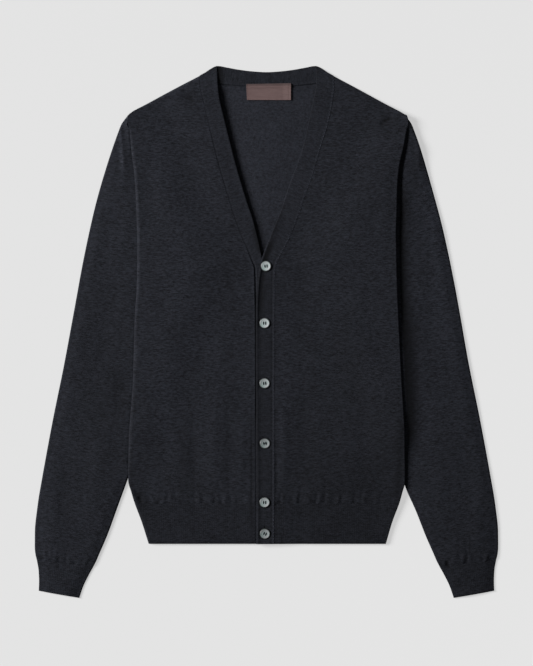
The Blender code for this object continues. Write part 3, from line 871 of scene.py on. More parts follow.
def makeBand(name, seamX, seamY, edgeX, edgeY, heightAt, shadeAt, reverse, finish):
    rings, run = bandRings(seamX, seamY, edgeX, edgeY, heightAt, bandWall)
    width = np.hypot(edgeX - seamX, edgeY - seamY)[:, None]
    shade = shadeAt(rings[..., 0], rings[..., 1], run, width)
    along = np.concatenate([[0], np.cumsum(np.hypot(np.diff(seamX), np.diff(seamY)))])
    along = np.repeat(along[:, None], run.shape[1], 1)
    if reverse:
        rings, run, along, shade = (item[:, ::-1] for item in (rings, run, along, shade))
    uv = np.stack([run, along], -1) * 0.001
    uv, shade = (np.concatenate([item, item[:, :1]], axis=1) for item in (uv, shade))
    return addStrip(name, rings, uv, finish, shade)


def buttonDip(x, y):
    # the cloth is pressed in a little round each button
    dip = 0
    for place in buttonPlaces:
        away = np.hypot(x - place.x, y - place.y)
        dip = dip - 0.75 * fall(away, 6.4, 11.5) - 0.7 * slitAt(place, x, y)
    return dip


def slitAt(place, x, y):
    # the part of a buttonhole above its button
    up = y - place.y
    return bump(x - place.x, 0, 0.8) * ramp(up, 4, 6) * fall(up, place.slit - 1.6, place.slit)


# How deep the groove beside the right band is, from the hem up
grooveY = (-301, -244, -200, -140, -97, -61, 88, 112)
grooveZ = (0.1, 0.15, 0.35, 0.45, 0.75, 1.2, 0.9, 0.1)


def rightBandTop(x, y, distance, width):
    depth = smoothLine(grooveY, grooveZ, np.clip(y, grooveY[0], grooveY[-1]))
    seam = -depth * fall(distance, 1.2, 3.2) - 0.1 * bump(distance, 0, 0.9)
    edge = 0.4 * bump(width - distance, 1.6, 3.4)
    return frontTop(x, y) + seam + edge + 0.12 * hills(x, y, 9, 26, 21)


def seamPaintedShade(y):
    # painted shade along the right band's seam beside the neckline
    return (0.12 + 0.26 * fall(y, 155, 185)) * ramp(y, 100, 114)


def rightBandShade(x, y, distance, width):
    # darker below the V, and painted shade along the seam
    shade = 0.2 * fall(y, 80, 118) + seamPaintedShade(y) * fall(distance, 0.3, 1.3)
    # painted shade where the free edge rolls down near the V's foot
    rolled = 0.62 * ramp(y, 106, 116) * fall(y, 138, 165)
    return shade + rolled * ramp(distance - width, -9.5, -2.5)


def besideNose(distance, width):
    return ramp(distance - width, -2.4, -1)


def curled(y):
    # where the free edge of the left band curls up between the two highest buttons
    return ramp(y, 0, 35) * fall(y, 86, 100)


def leftBandTop(x, y, distance, width):
    fromEdge = width - distance
    below = fall(y, 100, 125)
    rise = 0.04 + 0.31 * below + 0.6 * curled(y)
    edge = rise * bump(fromEdge, 2.3, 1.3) - 0.5 * rise * bump(fromEdge, 7.2, 3)
    seam = (0.14 + 0.12 * below) * bump(distance, -0.1, 0.9)
    seam -= (0.05 + 0.22 * below) * bump(distance, 2.4, 1.1)
    return leftTop(x, y) + edge + seam + buttonDip(x, y) + 0.12 * hills(x, y, 9, 24, 22)


def leftBandShade(x, y, distance, width):
    below = fall(y, 75, 115)
    # darker below the V, with painted shade in a trough near the free edge
    shade = 0.05 + 0.17 * below + below * 0.12 * bump(width - distance, 5, 4.5)
    # painted shade in the trough behind the free edge where it curls up
    shade += 0.36 * curled(y) * bump(width - distance, 7.6, 4)
    # painted shade dulls the lit free edge
    nose = np.maximum(ramp(y, -270, -235) * below, ramp(y, 230, 300))
    shade += 0.3 * nose * besideNose(distance, width)
    # painted shade near the free edge around the V's foot, eased on the edge itself
    foot = ramp(y, 98, 112) * fall(y, 150, 200)
    shade += 0.4 * foot * ramp(y, 125, 145) * ramp(distance - width, -4.6, -1.6)
    foot = (0.82 - 0.55 * ramp(y, 112, 144)) * ramp(y, 97, 102) * fall(y, 142, 165)
    shade += foot * (ramp(distance - width, -13, -5.5) - 0.8 * besideNose(distance, width))
    # painted shade in a ring round each button and in its buttonhole
    for place in buttonPlaces:
        away = np.hypot(x - place.x, y - place.y)
        shade = shade + 0.5 * fall(away, 7.2, 9.6) + 0.4 * slitAt(place, x, y)
    return np.minimum(shade, 0.8)


def fromRightEdge(x, y):
    edgeY, edgeX = zip(*((section.edgeY, section.edgeX) for section in rightSections))
    return x - np.interp(y, edgeY, edgeX)


def neckBandTop(x, y, distance, width):
    seam = 0.35 * bump(distance, 1.1, 0.8) - 0.35 * bump(distance, 0, 0.6)
    ridges = 0.16 * bump(width - distance, 2.6, 1) - 0.18 * bump(distance, 4, 1.3)
    return bandWall + seam + ridges + 0.1 * hills(x, y, 22, 9, 23)


def neckBandShade(x, y, distance, width):
    # painted shade along its top edge
    shade = 0.08 + 0.3 * ramp(distance - width, -1.8, -0.2)
    # painted shadow cast by the right front's edge where the band ends
    return shade + 0.72 * fall(fromRightEdge(x, y), 3.5, 11.5)


def makeBands():
    for side, sections, heightAt, shadeAt, reverse in (
        ("Right", rightSections, rightBandTop, rightBandShade, False),
        ("Left", leftSections, leftBandTop, leftBandShade, True),
    ):
        rows = evenRows(sections, 0, len(sections) - 1, bandShape["rows"], "seamX", "seamY")
        line = sectionsAt(sections, rows)
        borders = (line["seamX"], line["seamY"], line["edgeX"], line["edgeY"])
        band = makeBand(f"band{side}", *borders, heightAt, shadeAt, reverse, bandFinish)
        dress(band, "rib_knit", f"band_{side.lower()}")
        "hemBack" if side == "Right" else "bandRight"

    half = np.array(neckSections)
    lows, tops, topYs = np.concatenate([half[::-1] * (-1, -1, 1), half[1:]]).T
    keys = np.arange(len(lows))
    rows = np.interp(np.linspace(lows[0], lows[-1], bandShape["neckRows"]), lows, keys)
    lowX, topX, topY = (smoothLine(keys, values, rows) for values in (lows, tops, topYs))
    borders = (lowX, neckSeam(lowX), topX, topY)
    neck = makeBand("bandNeck", *borders, neckBandTop, neckBandShade, True, bandFinish)
    dress(neck, "rib_knit", "band_back_neck")
    print("bands made")


stitchShape = {
    "pitch": 4.5,
    "length": {-1: 2.4, 1: 3.2},
    "radius": {-1: 0.26, 1: 0.42},
    "fromSeam": {-1: 1.3, 1: 0.6},
    # painted highlight: the stitches are painted lighter than the cloth, for the light that the seam's
    # ridge catches
    "brightness": {-1: 1.3, 1: 2.3},
    "seed": {-1: 71, 1: 72},
    "firstRow": 0.08,  # rows of the table left free at hem and shoulder
    "lastRow": 1.15,
}


def makeStitches(side, sign, sections):
    # small capsules in a row beside the seam, a little uneven in length and place
    look = lookFrom(jerseyLook, stitchShape["brightness"][sign], fleck=1.2)
    first, last = stitchShape["firstRow"], len(sections) - stitchShape["lastRow"]
    rows = evenRows(sections, first, last, stitchShape["pitch"], "seamX", "seamY")
    draw = np.random.default_rng(stitchShape["seed"][sign])
    line = sectionsAt(sections, rows)
    away = stitchShape["fromSeam"][sign] + draw.uniform(-0.15, 0.15, len(rows))
    x, y = line["seamX"] + sign * away, line["seamY"]
    width = np.hypot(line["sideX"] - line["seamX"], line["sideY"] - line["seamY"])
    runX, runY = np.gradient(line["seamX"]), np.gradient(line["seamY"])
    runs = np.hypot(runX, runY)
    places = (x, y, away, away / width, width)
    panelTop, hemTop = (frontSheetTop(sign, isPanel, *places) for isPanel in (True, False))
    top = np.where(y > ribSeamY, panelTop, hemTop)
    half = 0.5 * stitchShape["length"][sign] * draw.uniform(0.6, 1.1, len(rows))
    radius, sides = stitchShape["radius"][sign], 6
    angles = np.arange(sides) * 2 * math.pi / sides
    caps = [(3, 2, 1, 0), (0, 5, 4, 3), (18, 19, 20, 21), (21, 22, 23, 18)]
    capsule = np.concatenate([gridFaces(4, sides, closed=True), caps])
    points, faces, uvs = [], [], []
    for index in range(len(rows)):
        along = np.array([runX[index], runY[index], 0]) / runs[index]
        aside = np.array([along[1], -along[0], 0])
        faces.append(capsule + len(points))
        for reach, thick, lift in ((-1, 0.45, -0.1), (-0.6, 1, 0.35), (0.6, 1, 0.35), (1, 0.45, -0.1)):
            middle = np.array([x[index], y[index], top[index] + radius * lift])
            for angle in angles:
                offset = aside * math.cos(angle) + np.array([0, 0, math.sin(angle)])
                points.append(middle + along * reach * half[index] + offset * thick * radius)
                uvs.append((x[index] * 0.001, (y[index] + reach) * 0.001))
    name, shade = f"seamThread{side}", np.zeros(len(points))
    piece = addPiece(name, points, np.concatenate(faces), uvs, clothFinish(name, look), shade)
    return dress(piece, "knit")


backShape = {
    "columns": 3.4,
    "rows": 3.6,
    "inset": 2.8,  # behind the rolled sides
    "neckStep": (86.3, 95.6),
    "shoulder": (362.8, 312),
    "cut": ((0.392, 0.608), 0.217),
    "hemCut": ((0.372, 0.0577), 0.0198),
}

backFolds = table(foldColumns, [
    (-20, 300, -10, 190, 16, 0.45, 5),
    (24, 310, 10, 200, 14, 0.4, -5),
])


def backTopY(x):
    step = backShape["neckStep"]
    seam = neckSeam(x) + lap
    slope = np.interp(x, [step[1], shoulderX], backShape["shoulder"])
    return np.where(x <= step[0] + gap, seam, slope)


def makeBackSheet(name, firstY, lastY, wall, topY, finish):
    half = shoulderX - backShape["inset"]
    step = backShape["neckStep"]
    shares = [0]
    for low, high in pairwise([0, step[0] / half, step[1] / half, 1]):
        count = max(int(round((high - low) * half / backShape["columns"])), 2)
        shares += list(np.linspace(low, high, count + 1)[1:])
    shares = np.array([-share for share in reversed(shares[1:])] + shares)
    count = int(round((lastY - firstY) / backShape["rows"]))
    last = [1 - run / (lastY - firstY) for run in (2.2, 1.5, 0.9, 0.4)]
    rowShares = np.array([*np.linspace(0, 1 - 3 / (lastY - firstY), count), *last, 1])
    baseY = firstY + (lastY - firstY) * rowShares[:, None]
    y = firstY + (topY(np.abs(shares) * half)[None, :] - firstY) * rowShares[:, None]
    left, right = (sideAt(sign, baseY) - backShape["inset"] for sign in (-1, 1))
    x = shares[None, :] * np.where(shares[None, :] < 0, left, right)
    seen = bump(x, 0, 70) * ramp(y, 110, 160)
    relief = foldRelief(x, y, backFolds) + 0.22 * (hills(x, y, 30, 50, 31) + 1)
    fromSeam = np.where(np.abs(x) < step[0], neckSeam(x) - y, 50)
    top = backLow(x, y) + wall + np.maximum(relief, 0) * seen
    top = top - 0.3 * fall(fromSeam, 0.4, 1.6) + 0.15 * bump(fromSeam, 2.6, 1)
    beside = fromRightEdge(x, y)
    # painted shade just under the neck seam's ridge, and darker towards +X
    shade = 0.22 * fall(fromSeam, 0.6, 1.9) + 0.1 * ramp(x, -20, 60)
    # painted shade beside the right edge: at the foot of the step, and past its own cast shadow
    amount = 0.62 - 0.2 * ramp(y, 140, 210) + 0.16 * ramp(y, 290, 340)
    past = fall(beside, 5.5, 13 + 2 * ramp(y, 290, 340))
    shade += amount * past * (fall(beside, 0.8, 2.6) + ramp(beside, 5, 7))
    uv = np.stack([x, y], -1) * 0.001
    return addSheet(name, np.stack([x, y, top], -1), uv, wall, finish, shade)


def makeBack():
    panel = makeBackSheet("backPanel", ribSeamY - lap, shoulderY, jersey, backTopY, insideFinish)
    dress(panel, "knit", "back_panel")
    hemTop = ribSeamY + lap
    hem = makeBackSheet("hemBack", hemY, hemTop, rib, lambda x: np.full(x.shape, hemTop), ribFinish)
    dress(hem, "rib_knit", "hem_rib_back")
    print("back made")


sleeveShape = {
    "rows": 3.4,
    "columns": 64,
    "fold": 3.6,  # how far a fold's rounding reaches inwards
    "edgeFall": 0.8,  # how much the top falls towards a fold
    "crown": 1.3,  # how much the whole top falls to both sides
    "cuffCrown": 1.8,
    "cuffPaintedLight": {-1: -0.30, 1: -0.19},  # painted light on each cuff: below 0 is lighter than the rib welt
    "cuffRows": 2,
    "unevenness": 0.4,
    "pucker": 0.75,
    "lean": 5,  # degrees between a sleeve's courses and the body's
    "seeds": {-1: (41, 64), 1: (42, 65)},
    "cut": ((0.34, 0.68), 0.155),  # all round
    "cuffCut": ((0.164, 0.052), 0.0063),
}

leftSleeveFolds = table(foldColumns, [
    (213.6, 290, 217, 228, 3.2, 1.5, 0.6),
    (236, 180, 250, 20, 12, 0.7, 5),
    (225, 60, 262, -120, 16, -0.7, -6),
    (262, 20, 285, -160, 14, 0.7, 5),
    (240, -120, 262, -290, 14, 0.7, -6),
    (270, -130, 295, -270, 10, -0.6, 4),
    (300, -210, 306, -320, 9, 0.6, -3),
    (257, -324, 257.6, -338, 3.6, -1.9, 0),
    (271, -352, 279, -371, 6, -0.9, 0),
])
rightSleeveFolds = table(foldColumns, [
    (-209.5, 306, -202.5, 218, 2.6, 1.4, 0.4),
    (-203, 306, -197.5, 218, 5.5, 1.2, 0),
    (-232, 190, -246, 30, 12, 0.7, -5),
    (-222, 60, -256, -130, 15, -0.7, 6),
    (-266, 10, -284, -170, 12, 0.6, -5),
    (-236, -120, -260, -290, 13, 0.7, 6),
    (-276, -150, -292, -290, 9, -0.6, -3),
    (-302, -220, -308, -320, 9, 0.6, 3),
])
# Painted shade on the sleeves along creases, dents and seams (painted light where the height is below 0)
leftSleevePaintedShade = table(foldColumns, [
    (228, 250, 258, -40, 20, -0.22, 4),
    (215, 288, 209, 188, 3.5, 0.22, 0),
    (231, 225, 239, 155, 12, -0.16, 0),
    (288.7, -286, 288.9, -320, 1.3, 0.40, 0.3),
    (309, -302, 309.4, -326, 1.3, 0.30, 0),
    (255, -325, 260, -338, 2.4, 0.75, 0),
    (272, -350, 278, -374, 5, 0.22, 0),
])
rightSleevePaintedShade = table(foldColumns, [
    (-210.6, 306, -202.6, 214, 1.6, -0.45, 0.4),
    (-206.5, 272, -206, 172, 2.5, -0.16, 0),
    (-199, 268, -198.5, 178, 2.8, 0.14, 0),
    (-222, 30, -250, -190, 17, 0.09, 0),
    (-209, -40, -213, -130, 12, 0.20, 0),
    (-282, -180, -290, -280, 14, 0.10, 0),
])
leftCuffGathers = table(gatherColumns, [
    (0.10, 0.5, 16),
    (0.24, 1, 24),
    (0.40, 0.6, 14),
    (0.51, 1.2, 34),
    (0.63, 0.9, 24),
    (0.78, 0.6, 16),
    (0.93, 0.6, 20),
])
rightCuffGathers = table(gatherColumns, [
    (0.11, 0.8, 22),
    (0.19, 0.8, 24),
    (0.28, 1, 26),
    (0.39, 0.9, 20),
    (0.52, 1, 22),
    (0.67, 0.9, 16),
    (0.79, 0.6, 14),
    (0.885, 0.8, 16),
])


def sleeveTop(sign, x, y, height):
    # the top has its own height at the body's edge, evens out away from it, and is level under the body
    beside = np.abs(x) - sideAt(sign, y)
    edge = valleyAt("right" if sign < 0 else "left", y)
    level = height + valleyAt("rise", y) * (0.2 if sign < 0 else 1)
    outside = level + (edge - level) * fall(beside, 0, valleyAt("reach", y))
    inside = height + (edge - height) * fall(-beside, 0, np.where(edge < 5, 8, 2.2))
    shape = np.where(beside > 0, outside, inside)
    # painted shade beside the left edge of the body, where little light comes, and painted light at the
    # bottom of the crevice there
    amount = 0.78 * ramp(y, -185, -140) * fall(y, 170, 235)
    shadingReach = 26 + 8 * ramp(y, -150, -80) - 9 * ramp(y, 0, 70)
    dim = amount * ramp(beside, 3, 5) * fall(beside, 5, shadingReach)
    dim = (dim - 0.45 * amount * ramp(beside, -1, 1) * fall(beside, 3, 5)) * (sign > 0)
    return height + (shape - height) * ramp(y, -260, -215), ramp(beside, -3, 3), dim


def sleeveRelief(sign, isCuff, x, y, fromOuter, run, width):
    # creases, with gathers and pucker above the cuff; a cuff is drawn in at its ends
    side, seeds = sleeveSides[sign], sleeveShape["seeds"][sign]
    relief = sleeveShape["unevenness"] * hills(x + sign * y * 0.3, y, 30, 75, seeds[0])
    relief += foldRelief(x, y, side.folds)
    if isCuff:
        return relief * 0.6 - 0.8 * fall(run, 0, 1.8) - 0.25 * ramp(run, run[-1] - 1.6, run[-1])
    relief += gatherDip(fromOuter / width, run, side.gathers, width)
    fine = hills(fromOuter + 0.2 * run, run, 4.2, 60, seeds[1])
    relief += sleeveShape["pucker"] * fine * fall(run, 2, 18)
    return relief + 0.25 * bump(run, 3.2, 2.2) - 0.3 * fall(run, 0, 1.6)


def sleeveShade(sign, isCuff, x, y, dim, allRun, run, width):
    # painted shade along both folds, more on the one at +X, away from the light
    shade = 0.12 * fall(allRun, 0.3, 2) + 0.4 * ramp(allRun - width, -2.4, -0.4)
    startY = y[:, :1]
    # darker lower down the sleeve
    if sign < 0:
        shade = shade + 0.13 - 0.13 * ramp(startY, 40, 150)
    else:
        shade = shade + 0.04 + 0.08 * fall(startY, -215, -110)
        shade += 0.08 * fall(startY, -290, -240)
    # painted shade and light beside the body's edge, and along creases, dents and seams
    shade[:, : dim.shape[1]] += dim + foldRelief(x, y, sleeveSides[sign].dims)
    if isCuff:
        # painted shade along the cuff's lower edge, and painted light on each cuff
        shade = shade + 0.3 * fall(run, 0.3, 2.2) + sleeveShape["cuffPaintedLight"][sign]
    return np.concatenate([shade, shade[:, :1]], axis=1)


def makeSleeveTube(name, sign, sections, rowStep, wall, finish, isCuff):
    rows = evenRows(sections, 0, len(sections) - 1, rowStep, "outerX", "outerY")
    if isCuff:
        rows = np.concatenate([[0, 0.03, 0.09], rows[1:]])
    line = sectionsAt(sections, rows)
    outerX, outerY, innerX, innerY, height = (line[key][:, None] for key in sleeveColumns.split())
    if sign < 0:  # the two sleeves don't lie quite alike
        outerX, innerX = -outerX, -innerX - 0.8 * bump(innerY, -245, 45)
    else:
        outerX = outerX - 1.3 * bump(outerY, 200, 45) + 0.8 * bump(outerY, 40, 55)
        innerX -= 3.2 * bump(innerY, -220, 26)
    run = np.cumsum(np.hypot(np.diff(outerX, axis=0), np.diff(outerY, axis=0)))
    run = np.concatenate([[0], run])[:, None]
    borders = (outerX, outerY, innerX, innerY)
    startX, startY, endX, endY = borders if sign < 0 else borders[2:] + borders[:2]
    width = np.hypot(endX - startX, endY - startY)
    alongX, alongY = (endX - startX) / width, (endY - startY) / width
    fold = sleeveShape["fold"]
    topRun = fold + (width - 2 * fold) * np.linspace(0, 1, sleeveShape["columns"])
    x = startX + alongX * topRun
    y = startY + alongY * topRun
    top, seen, dim = sleeveTop(sign, x, y, height)
    nearFold = np.minimum(topRun, width - topRun)
    falling = 1 - 0.85 * ramp(y, 215, 260)  # the head of the sleeve stays full up to its edge
    top -= falling * sleeveShape["edgeFall"] * fall(nearFold, fold, 15)
    crown = sleeveShape["cuffCrown" if isCuff else "crown"]
    top -= falling * crown * np.abs(2 * topRun / width - 1) ** 2.3
    fromOuter = topRun if sign < 0 else width - topRun
    top += sleeveRelief(sign, isCuff, x, y, fromOuter, run, width) * seen

    # round both folds and back underneath
    turns = np.radians(np.linspace(90, -90, 9)[1:])
    endRun = width - fold + fold * np.cos(turns)
    endZ = top[:, -1:] / 2 * (1 + np.sin(turns))
    turns = turns[::-1]
    beginRun = np.full_like(width, fold) - fold * np.cos(turns)
    beginZ = top[:, :1] / 2 * (1 + np.sin(turns))
    underRun = fold + (width - 2 * fold) * np.linspace(1, 0, 14)[1:-1]
    allRun = np.concatenate([topRun, endRun, underRun, beginRun], axis=1)
    allZ = np.concatenate([top, endZ, np.zeros_like(underRun), beginZ], axis=1)
    if isCuff:
        middle = top.mean(axis=1, keepdims=True) / 2
        allZ = middle + (allZ - middle) * (1 - 0.25 * fall(run, 0, 1.8))
    points = np.stack([startX + alongX * allRun, startY + alongY * allRun, allZ], -1)

    # the courses lie square to the sleeve's own line
    closed = np.concatenate([points, points[:, :1]], axis=1)
    steps = np.linalg.norm(np.diff(closed, axis=1), axis=2)
    around = np.cumsum(np.concatenate([np.zeros((len(rows), 1)), steps], axis=1), axis=1)
    lean = math.radians(sleeveShape["lean"])
    acrossX, acrossY = math.cos(lean), sign * math.sin(lean)
    acrossRun = around * (alongX * acrossX + alongY * acrossY) + (startX * acrossX + startY * acrossY)
    alongRun = closed[..., 1] * acrossX - closed[..., 0] * acrossY
    uv = np.stack([acrossRun, alongRun], -1) * 0.001
    shade = sleeveShade(sign, isCuff, x, y, dim, allRun, run, width)
    return addTube(name, points, uv, wall, finish, shade)


SleeveSide = namedtuple("SleeveSide", "name gathers folds dims")
sleeveSides = {
    -1: SleeveSide("Right", rightCuffGathers, rightSleeveFolds, rightSleevePaintedShade),
    1: SleeveSide("Left", leftCuffGathers, leftSleeveFolds, leftSleevePaintedShade),
}


def makeSleeves():
    for sign, side in sleeveSides.items():
        size = (sleeveSections, sleeveShape["rows"], jersey)
        sleeve = makeSleeveTube(f"sleeve{side.name}", sign, *size, jerseyFinish, False)
        dress(sleeve, "knit", f"sleeve_{side.name.lower()}")
        size = (cuffSections, sleeveShape["cuffRows"], rib)
        cuff = makeSleeveTube(f"cuff{side.name}", sign, *size, ribFinish, True)
        dress(cuff, "rib_knit", f"cuff_{side.name.lower()}")
    print("sleeves and cuffs made")


labelShape = {
    "corners": ((-27.8, 330.4), (34.8, 330.2), (-28.9, 353), (34.8, 354.1)),
    "wall": 0.8,
    "lift": 0.45,  # above the cloth under it
    "length": 62,
    "flat": (0.0635, 0.0242),
    "columns": 64,
    "rows": 26,
    "colour": (0.1365, 0.0860, 0.0840),
    "slubColour": (0.1500, 0.0972, 0.0936),
    "weft": 0.0009,  # metres from thread to thread
    "warp": 0.0006,
}


def labelFinish():
    finish = Finish("labelWeave", {"Metallic": 0, "Specular IOR Level": 0.3, "Sheen Weight": 0.05})
    cloth = finish.cloth()
    across, along = finish.parts(cloth)
    weft = (along * (math.tau / labelShape["weft"])).act("SINE")
    warp = (across * (math.tau / labelShape["warp"])).act("SINE")
    sockets = {"Vector": cloth * (60, 900, 1), "Scale": 1, "Detail": 2}
    slubs = finish.node("ShaderNodeTexNoise", {}, sockets)
    # its top edge is turned in and sewn down
    turned = {"Value": along, "From Min": 0.3493, "From Max": 0.3516, "To Min": 1, "To Max": 0.58}
    tone = (1 + (slubs - 0.5) * 0.5 + weft * 0.05) * finish.node("ShaderNodeMapRange", {}, turned)
    finish.feed("Base Color", finish.mix(slubs, labelShape["colour"], labelShape["slubColour"]) * tone)
    finish.feed("Roughness", 0.6 + (slubs - 0.5) * 0.2)
    finish.feedBump(weft * 0.05 + warp * weft * 0.03)
    return finish.material


def makeLabel():
    low1, low2, high1, high2 = (np.array(corner) for corner in labelShape["corners"])
    u = np.linspace(0, 1, labelShape["columns"])[None, :, None]
    v = np.linspace(0, 1, labelShape["rows"])[:, None, None]
    spots = (low1 * (1 - u) + low2 * u) * (1 - v) + (high1 * (1 - u) + high2 * u) * v
    x, y = spots[..., 0], spots[..., 1]
    under = jersey + (bandWall - jersey) * ramp(y, 345, 350)
    wave = 0.12 * np.sin(x / 9) + 0.1 * hills(x, y, 16, 9, 51)
    u, v = u[..., 0], v[..., 0]
    fromEnd = np.minimum(u, 1 - u) * labelShape["length"]
    fold = 0.18 * bump(fromEnd, 0.8, 0.6) - 0.25 * bump(fromEnd, 2.2, 0.5)
    ends = 0.15 + 0.75 * ramp(u, 0.8, 1) + 0.2 * fall(u, 0, 0.1)  # they stand up a little
    top = under + labelShape["lift"] + labelShape["wall"] + wave + fold + ends
    uv = np.stack([x, y], -1) * 0.001
    label = addSheet("neckLabel", np.stack([x, y, top], -1), uv, labelShape["wall"], labelFinish())
    dress(label, "label_weave", "neck_label")
    print("label made")


buttonShape = {
    "steps": 56,
    "holeRadius": 0.85,
    "holeX": 1.5,
    "holeY": 1.6,
    "threadRadius": 0.52,
    "threadFlat": 0.5,  # height of a strand by its width
    "threadSides": 8,
    "strandStep": 0.5,
    "pastHole": 0.35,  # how far a stitch runs past the middle of its holes
    "threadFoot": 0.5,  # where a stitch starts, and how high it arches
    "threadArch": 1.42,
    "sink": 1.1,  # how deep a button sits in the cloth
    "pearl": (  # stops of its colour
        (0.30, (0.285, 0.385, 0.360)),
        (0.45, (0.325, 0.390, 0.385)),
        (0.58, (0.370, 0.380, 0.390)),
        (0.75, (0.320, 0.390, 0.375)),
    ),
}

# The profile from the middle of the dish outwards, round the rim and back underneath
buttonProfile = table("r z", [
    (0, 1.86), (1.6, 1.87), (3.2, 1.9), (4.2, 1.96),
    (4.8, 2.06), (5.3, 2.22), (5.8, 2.34), (6.25, 2.36),
    (6.7, 2.28), (7.1, 2.06), (7.4, 1.75), (7.56, 1.4),
    (7.6, 1.15), (7.2, 0.7), (6.4, 0.28), (5.2, 0.06),
    (3, 0), (0, 0),
])  # fmt: skip


def pearlFinish(number, shade):
    even = {"Metallic": 0, "Specular IOR Level": 0.4, "Coat Roughness": 0.25, "Coat Weight": 0.15}
    finish = Finish(f"buttonPearl{number}", even)
    spot = finish.node("ShaderNodeTexCoord", output=3)
    sockets = {"Vector": spot, "Scale": 260, "Detail": 3, "Distortion": 1.4}
    swirl = finish.node("ShaderNodeTexNoise", {}, sockets)
    sockets = {"Vector": spot * (90, 420, 90), "Scale": 1, "Detail": 2}
    bands = finish.node("ShaderNodeTexNoise", {}, sockets)
    # each button gets its own copy of the pearl made lighter or darker, partly painted light and shade for
    # how it tips to the light, partly its pearl's own tone
    stops = [(at, tuple(channel * shade for channel in colour)) for at, colour in buttonShape["pearl"]]
    tone = finish.node("ShaderNodeValToRGB", {"stops": stops}, {0: swirl * 0.6 + bands * 0.4})
    finish.feed("Base Color", tone * (1 - finish.shade()))
    finish.feed("Roughness", 0.38 + (swirl - 0.5) * 0.15)
    return finish.material


def threadFinish():
    finish = Finish("buttonThread", {"Metallic": 0, "Specular IOR Level": 0.1, "Roughness": 0.7})
    across, along = finish.parts(finish.cloth())
    twist = (along * 9000 + across * 2).act("SINE")
    tone = finish.mix(twist * 0.5 + 0.5, (0.006, 0.009, 0.012), (0.011, 0.016, 0.020))
    finish.feed("Base Color", tone)
    finish.feedBump(twist, 0.0001)
    return finish.material


def turned(profile, steps):
    # points and faces of a turned form whose profile starts and ends on its axis
    angles = np.radians(np.arange(steps) * 360 / steps)
    ring = [point for point in profile if point.r > 0]
    points = [(0, 0, profile[0].z)]
    for point in ring:
        points += [(point.r * math.cos(a), point.r * math.sin(a), point.z) for a in angles]
    points.append((0, 0, profile[-1].z))
    faces = []
    for step in range(steps):
        after = (step + 1) % steps
        faces.append((0, 1 + step, 1 + after))
        for row in range(len(ring) - 1):
            low, high = 1 + row * steps, 1 + (row + 1) * steps
            faces.append((low + step, high + step, high + after, low + after))
        last = 1 + (len(ring) - 1) * steps
        faces.append((len(points) - 1, last + after, last + step))
    return points, faces


def makeButtonMesh():
    points, faces = turned(buttonProfile, buttonShape["steps"])
    blank = addObject("buttonBlank", newMesh("buttonBlank", (np.array(points) * 0.001).tolist(), faces))
    drillProfile = table("r z", [(0, 4), (1, 4), (1, -1), (0, -1)])
    points, faces = turned(drillProfile, 18)
    radius = buttonShape["holeRadius"]
    drills = []
    for sideX, sideY in ((1, 1), (-1, 1), (-1, -1), (1, -1)):
        centre = (sideX * buttonShape["holeX"], sideY * buttonShape["holeY"], 0)
        placed = (np.array(points) * (radius, radius, 1) + centre) * 0.001
        drill = addObject("buttonDrill", newMesh("buttonDrill", placed.tolist(), faces))
        cut = blank.modifiers.new("drill", "BOOLEAN")
        cut.operation = "DIFFERENCE"
        cut.solver = "EXACT"
        cut.object = drill
        drills.append(drill)
    bpy.context.view_layer.update()
    graph = bpy.context.evaluated_depsgraph_get()
    finished = bpy.data.meshes.new_from_object(blank.evaluated_get(graph))
    for helper in (blank, *drills):
        bpy.data.objects.remove(helper)
    finished.name = "button"
    spots = np.empty(len(finished.vertices) * 3)
    finished.vertices.foreach_get("co", spots)
    spots = spots.reshape(-1, 3) * 1000
    away = np.hypot(spots[:, 0], spots[:, 1])
    # painted shade on the button's rim and down in its holes
    shade = 0.85 * ramp(away, 6, 6.75) + 0.8 * (away < 4) * (spots[:, 2] < 1.7)
    finished.attributes.new("shade", "FLOAT", "POINT").data.foreach_set("value", np.minimum(shade, 0.9))
    finished.shade_smooth()
    finished.set_sharp_from_angle(angle=math.radians(40))
    return finished


def makeThreads(name, finish, strands):
    # two stitches side by side, each of a few strands that dip into the holes
    sides, radius = buttonShape["threadSides"], buttonShape["threadRadius"]
    reach = buttonShape["holeY"] + buttonShape["pastHole"]
    shares = np.linspace(0, 1, 17)
    tube = gridFaces(len(shares), sides, closed=True)
    end = (len(shares) - 1) * sides
    points, faces, uvs = [], [], []
    for column in (-1, 1):
        for strand in range(strands):
            offset = (strand - (strands - 1) / 2) * buttonShape["strandStep"]
            path = []
            for share in shares:
                swell = math.sin(math.pi * share)
                pz = buttonShape["threadFoot"] + buttonShape["threadArch"] * swell**0.35 - 0.1 * abs(offset)
                px = column * buttonShape["holeX"] + offset * (0.75 + 0.35 * swell)
                path.append(Vector((px, (2 * share - 1) * reach, pz)))
            start = len(points)
            for index, spot in enumerate(path):
                before, after = path[max(index - 1, 0)], path[min(index + 1, len(path) - 1)]
                side = Vector((1, 0, 0))
                up = (after - before).normalized().cross(side).normalized()
                for step in range(sides):
                    angle = 2 * math.pi * step / sides
                    lift = buttonShape["threadFlat"] * math.sin(angle)
                    points.append(spot + radius * (math.cos(angle) * side + lift * up))
                    uvs.append((step / sides, index * 0.0003))
            faces += (tube + start).tolist()
            faces.append([start + step for step in reversed(range(sides))])
            faces.append([start + end + step for step in range(sides)])
    mesh = newMesh(name, [point * 0.001 for point in points], faces)
    layer = mesh.uv_layers.new(name="cloth")
    for loop in mesh.loops:
        layer.data[loop.index].uv = uvs[loop.vertex_index]
    mesh.shade_smooth()
    mesh.materials.append(finish)
    return mesh


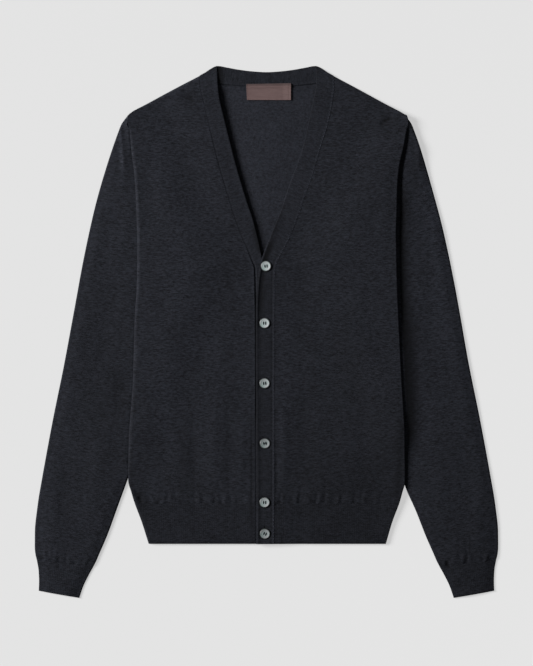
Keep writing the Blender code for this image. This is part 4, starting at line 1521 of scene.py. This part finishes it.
def makeButtons():
    body = makeButtonMesh()
    thread = threadFinish()
    for number, place in enumerate(buttonPlaces, 1):
        height = float(leftTop(np.array(place.x), np.array(place.y))) - buttonShape["sink"]
        location = (place.x * 0.001, (place.y - originY) * 0.001, height * 0.001)
        turn = [math.radians(angle) for angle in (place.tipX, place.tipY, place.turn)]
        button = addObject(f"button{number}", body.copy())
        button.data.materials.append(pearlFinish(number, place.shade))
        name = f"buttonThread{number}"
        stitches = addObject(name, makeThreads(name, thread, place.strands))
        for piece in (button, stitches):
            piece.location = location
            piece.rotation_euler = turn
        dress(button, "button_pearl", f"button_{number}")
        dress(stitches, "knit")
    print("buttons made")


studio = {
    "floorHalf": 4,
    "floorGlow": 0.508,
    "floorColour": 0.30,
    "glowAcross": 0.158,  # how much the glow grows towards +X and falls towards +Y, a metre
    "glowAlong": 0.060,
    "keyPower": 790,
    "keySize": 2.9,
    "keyDistance": 7,
    "keyHeight": 29,  # degrees above the floor
    "keyTurn": 17,  # degrees from -X towards +Y
    "fill": 0.11,
    "lens": 100,
    "cameraHeight": 2.6365,
    "cameraY": -0.00228,
}


def makeStudio():
    half = studio["floorHalf"]
    corners = [(-half, -half, 0), (half, -half, 0), (half, half, 0), (-half, half, 0)]
    floor = addObject("floor", newMesh("floor", corners, [(0, 1, 2, 3)]))
    floor.location.z = -0.0001
    even = {"Base Color": (studio["floorColour"],) * 3 + (1,), "Emission Strength": studio["floorGlow"]}
    finish = Finish("paleFloor", even | {"Roughness": 1, "Specular IOR Level": 0})
    # the glow evens out the light's fall from one side to the other
    across, along = finish.parts(finish.node("ShaderNodeTexCoord", output=3))
    glow = (1.01 + across * studio["glowAcross"] - along * studio["glowAlong"]).act("MAXIMUM", 0.4)
    finish.feed("Emission Color", glow.act("MINIMUM", 1.6))
    floor.data.materials.append(finish.material)

    key = bpy.data.lights.new("key", "AREA")
    key.shape = "DISK"
    key.size = studio["keySize"]
    key.energy = studio["keyPower"]
    lamp = addObject("key", key)
    lift, turn = math.radians(studio["keyHeight"]), math.radians(studio["keyTurn"])
    level = math.cos(lift)
    towards = Vector((-level * math.cos(turn), level * math.sin(turn), math.sin(lift)))
    lamp.location = towards * studio["keyDistance"]
    lamp.rotation_mode = "QUATERNION"
    lamp.rotation_quaternion = towards.to_track_quat("Z", "Y")

    world = bpy.data.worlds.new("studio")
    world.use_nodes = True
    sky = world.node_tree.nodes["Background"].inputs
    sky["Color"].default_value = (1, 1, 1, 1)
    sky["Strength"].default_value = studio["fill"]
    bpy.context.scene.world = world

    camera = addObject("camera", bpy.data.cameras.new("camera"))
    camera.data.lens = studio["lens"]
    camera.location = (0, studio["cameraY"], studio["cameraHeight"])
    bpy.context.scene.camera = camera
    bpy.context.scene.view_settings.view_transform = "Standard"
    print("floor, light and camera made")


makeSleeves()
makeBack()
makeBands()
makeLabel()
makeFronts()
makeButtons()
makeStudio()
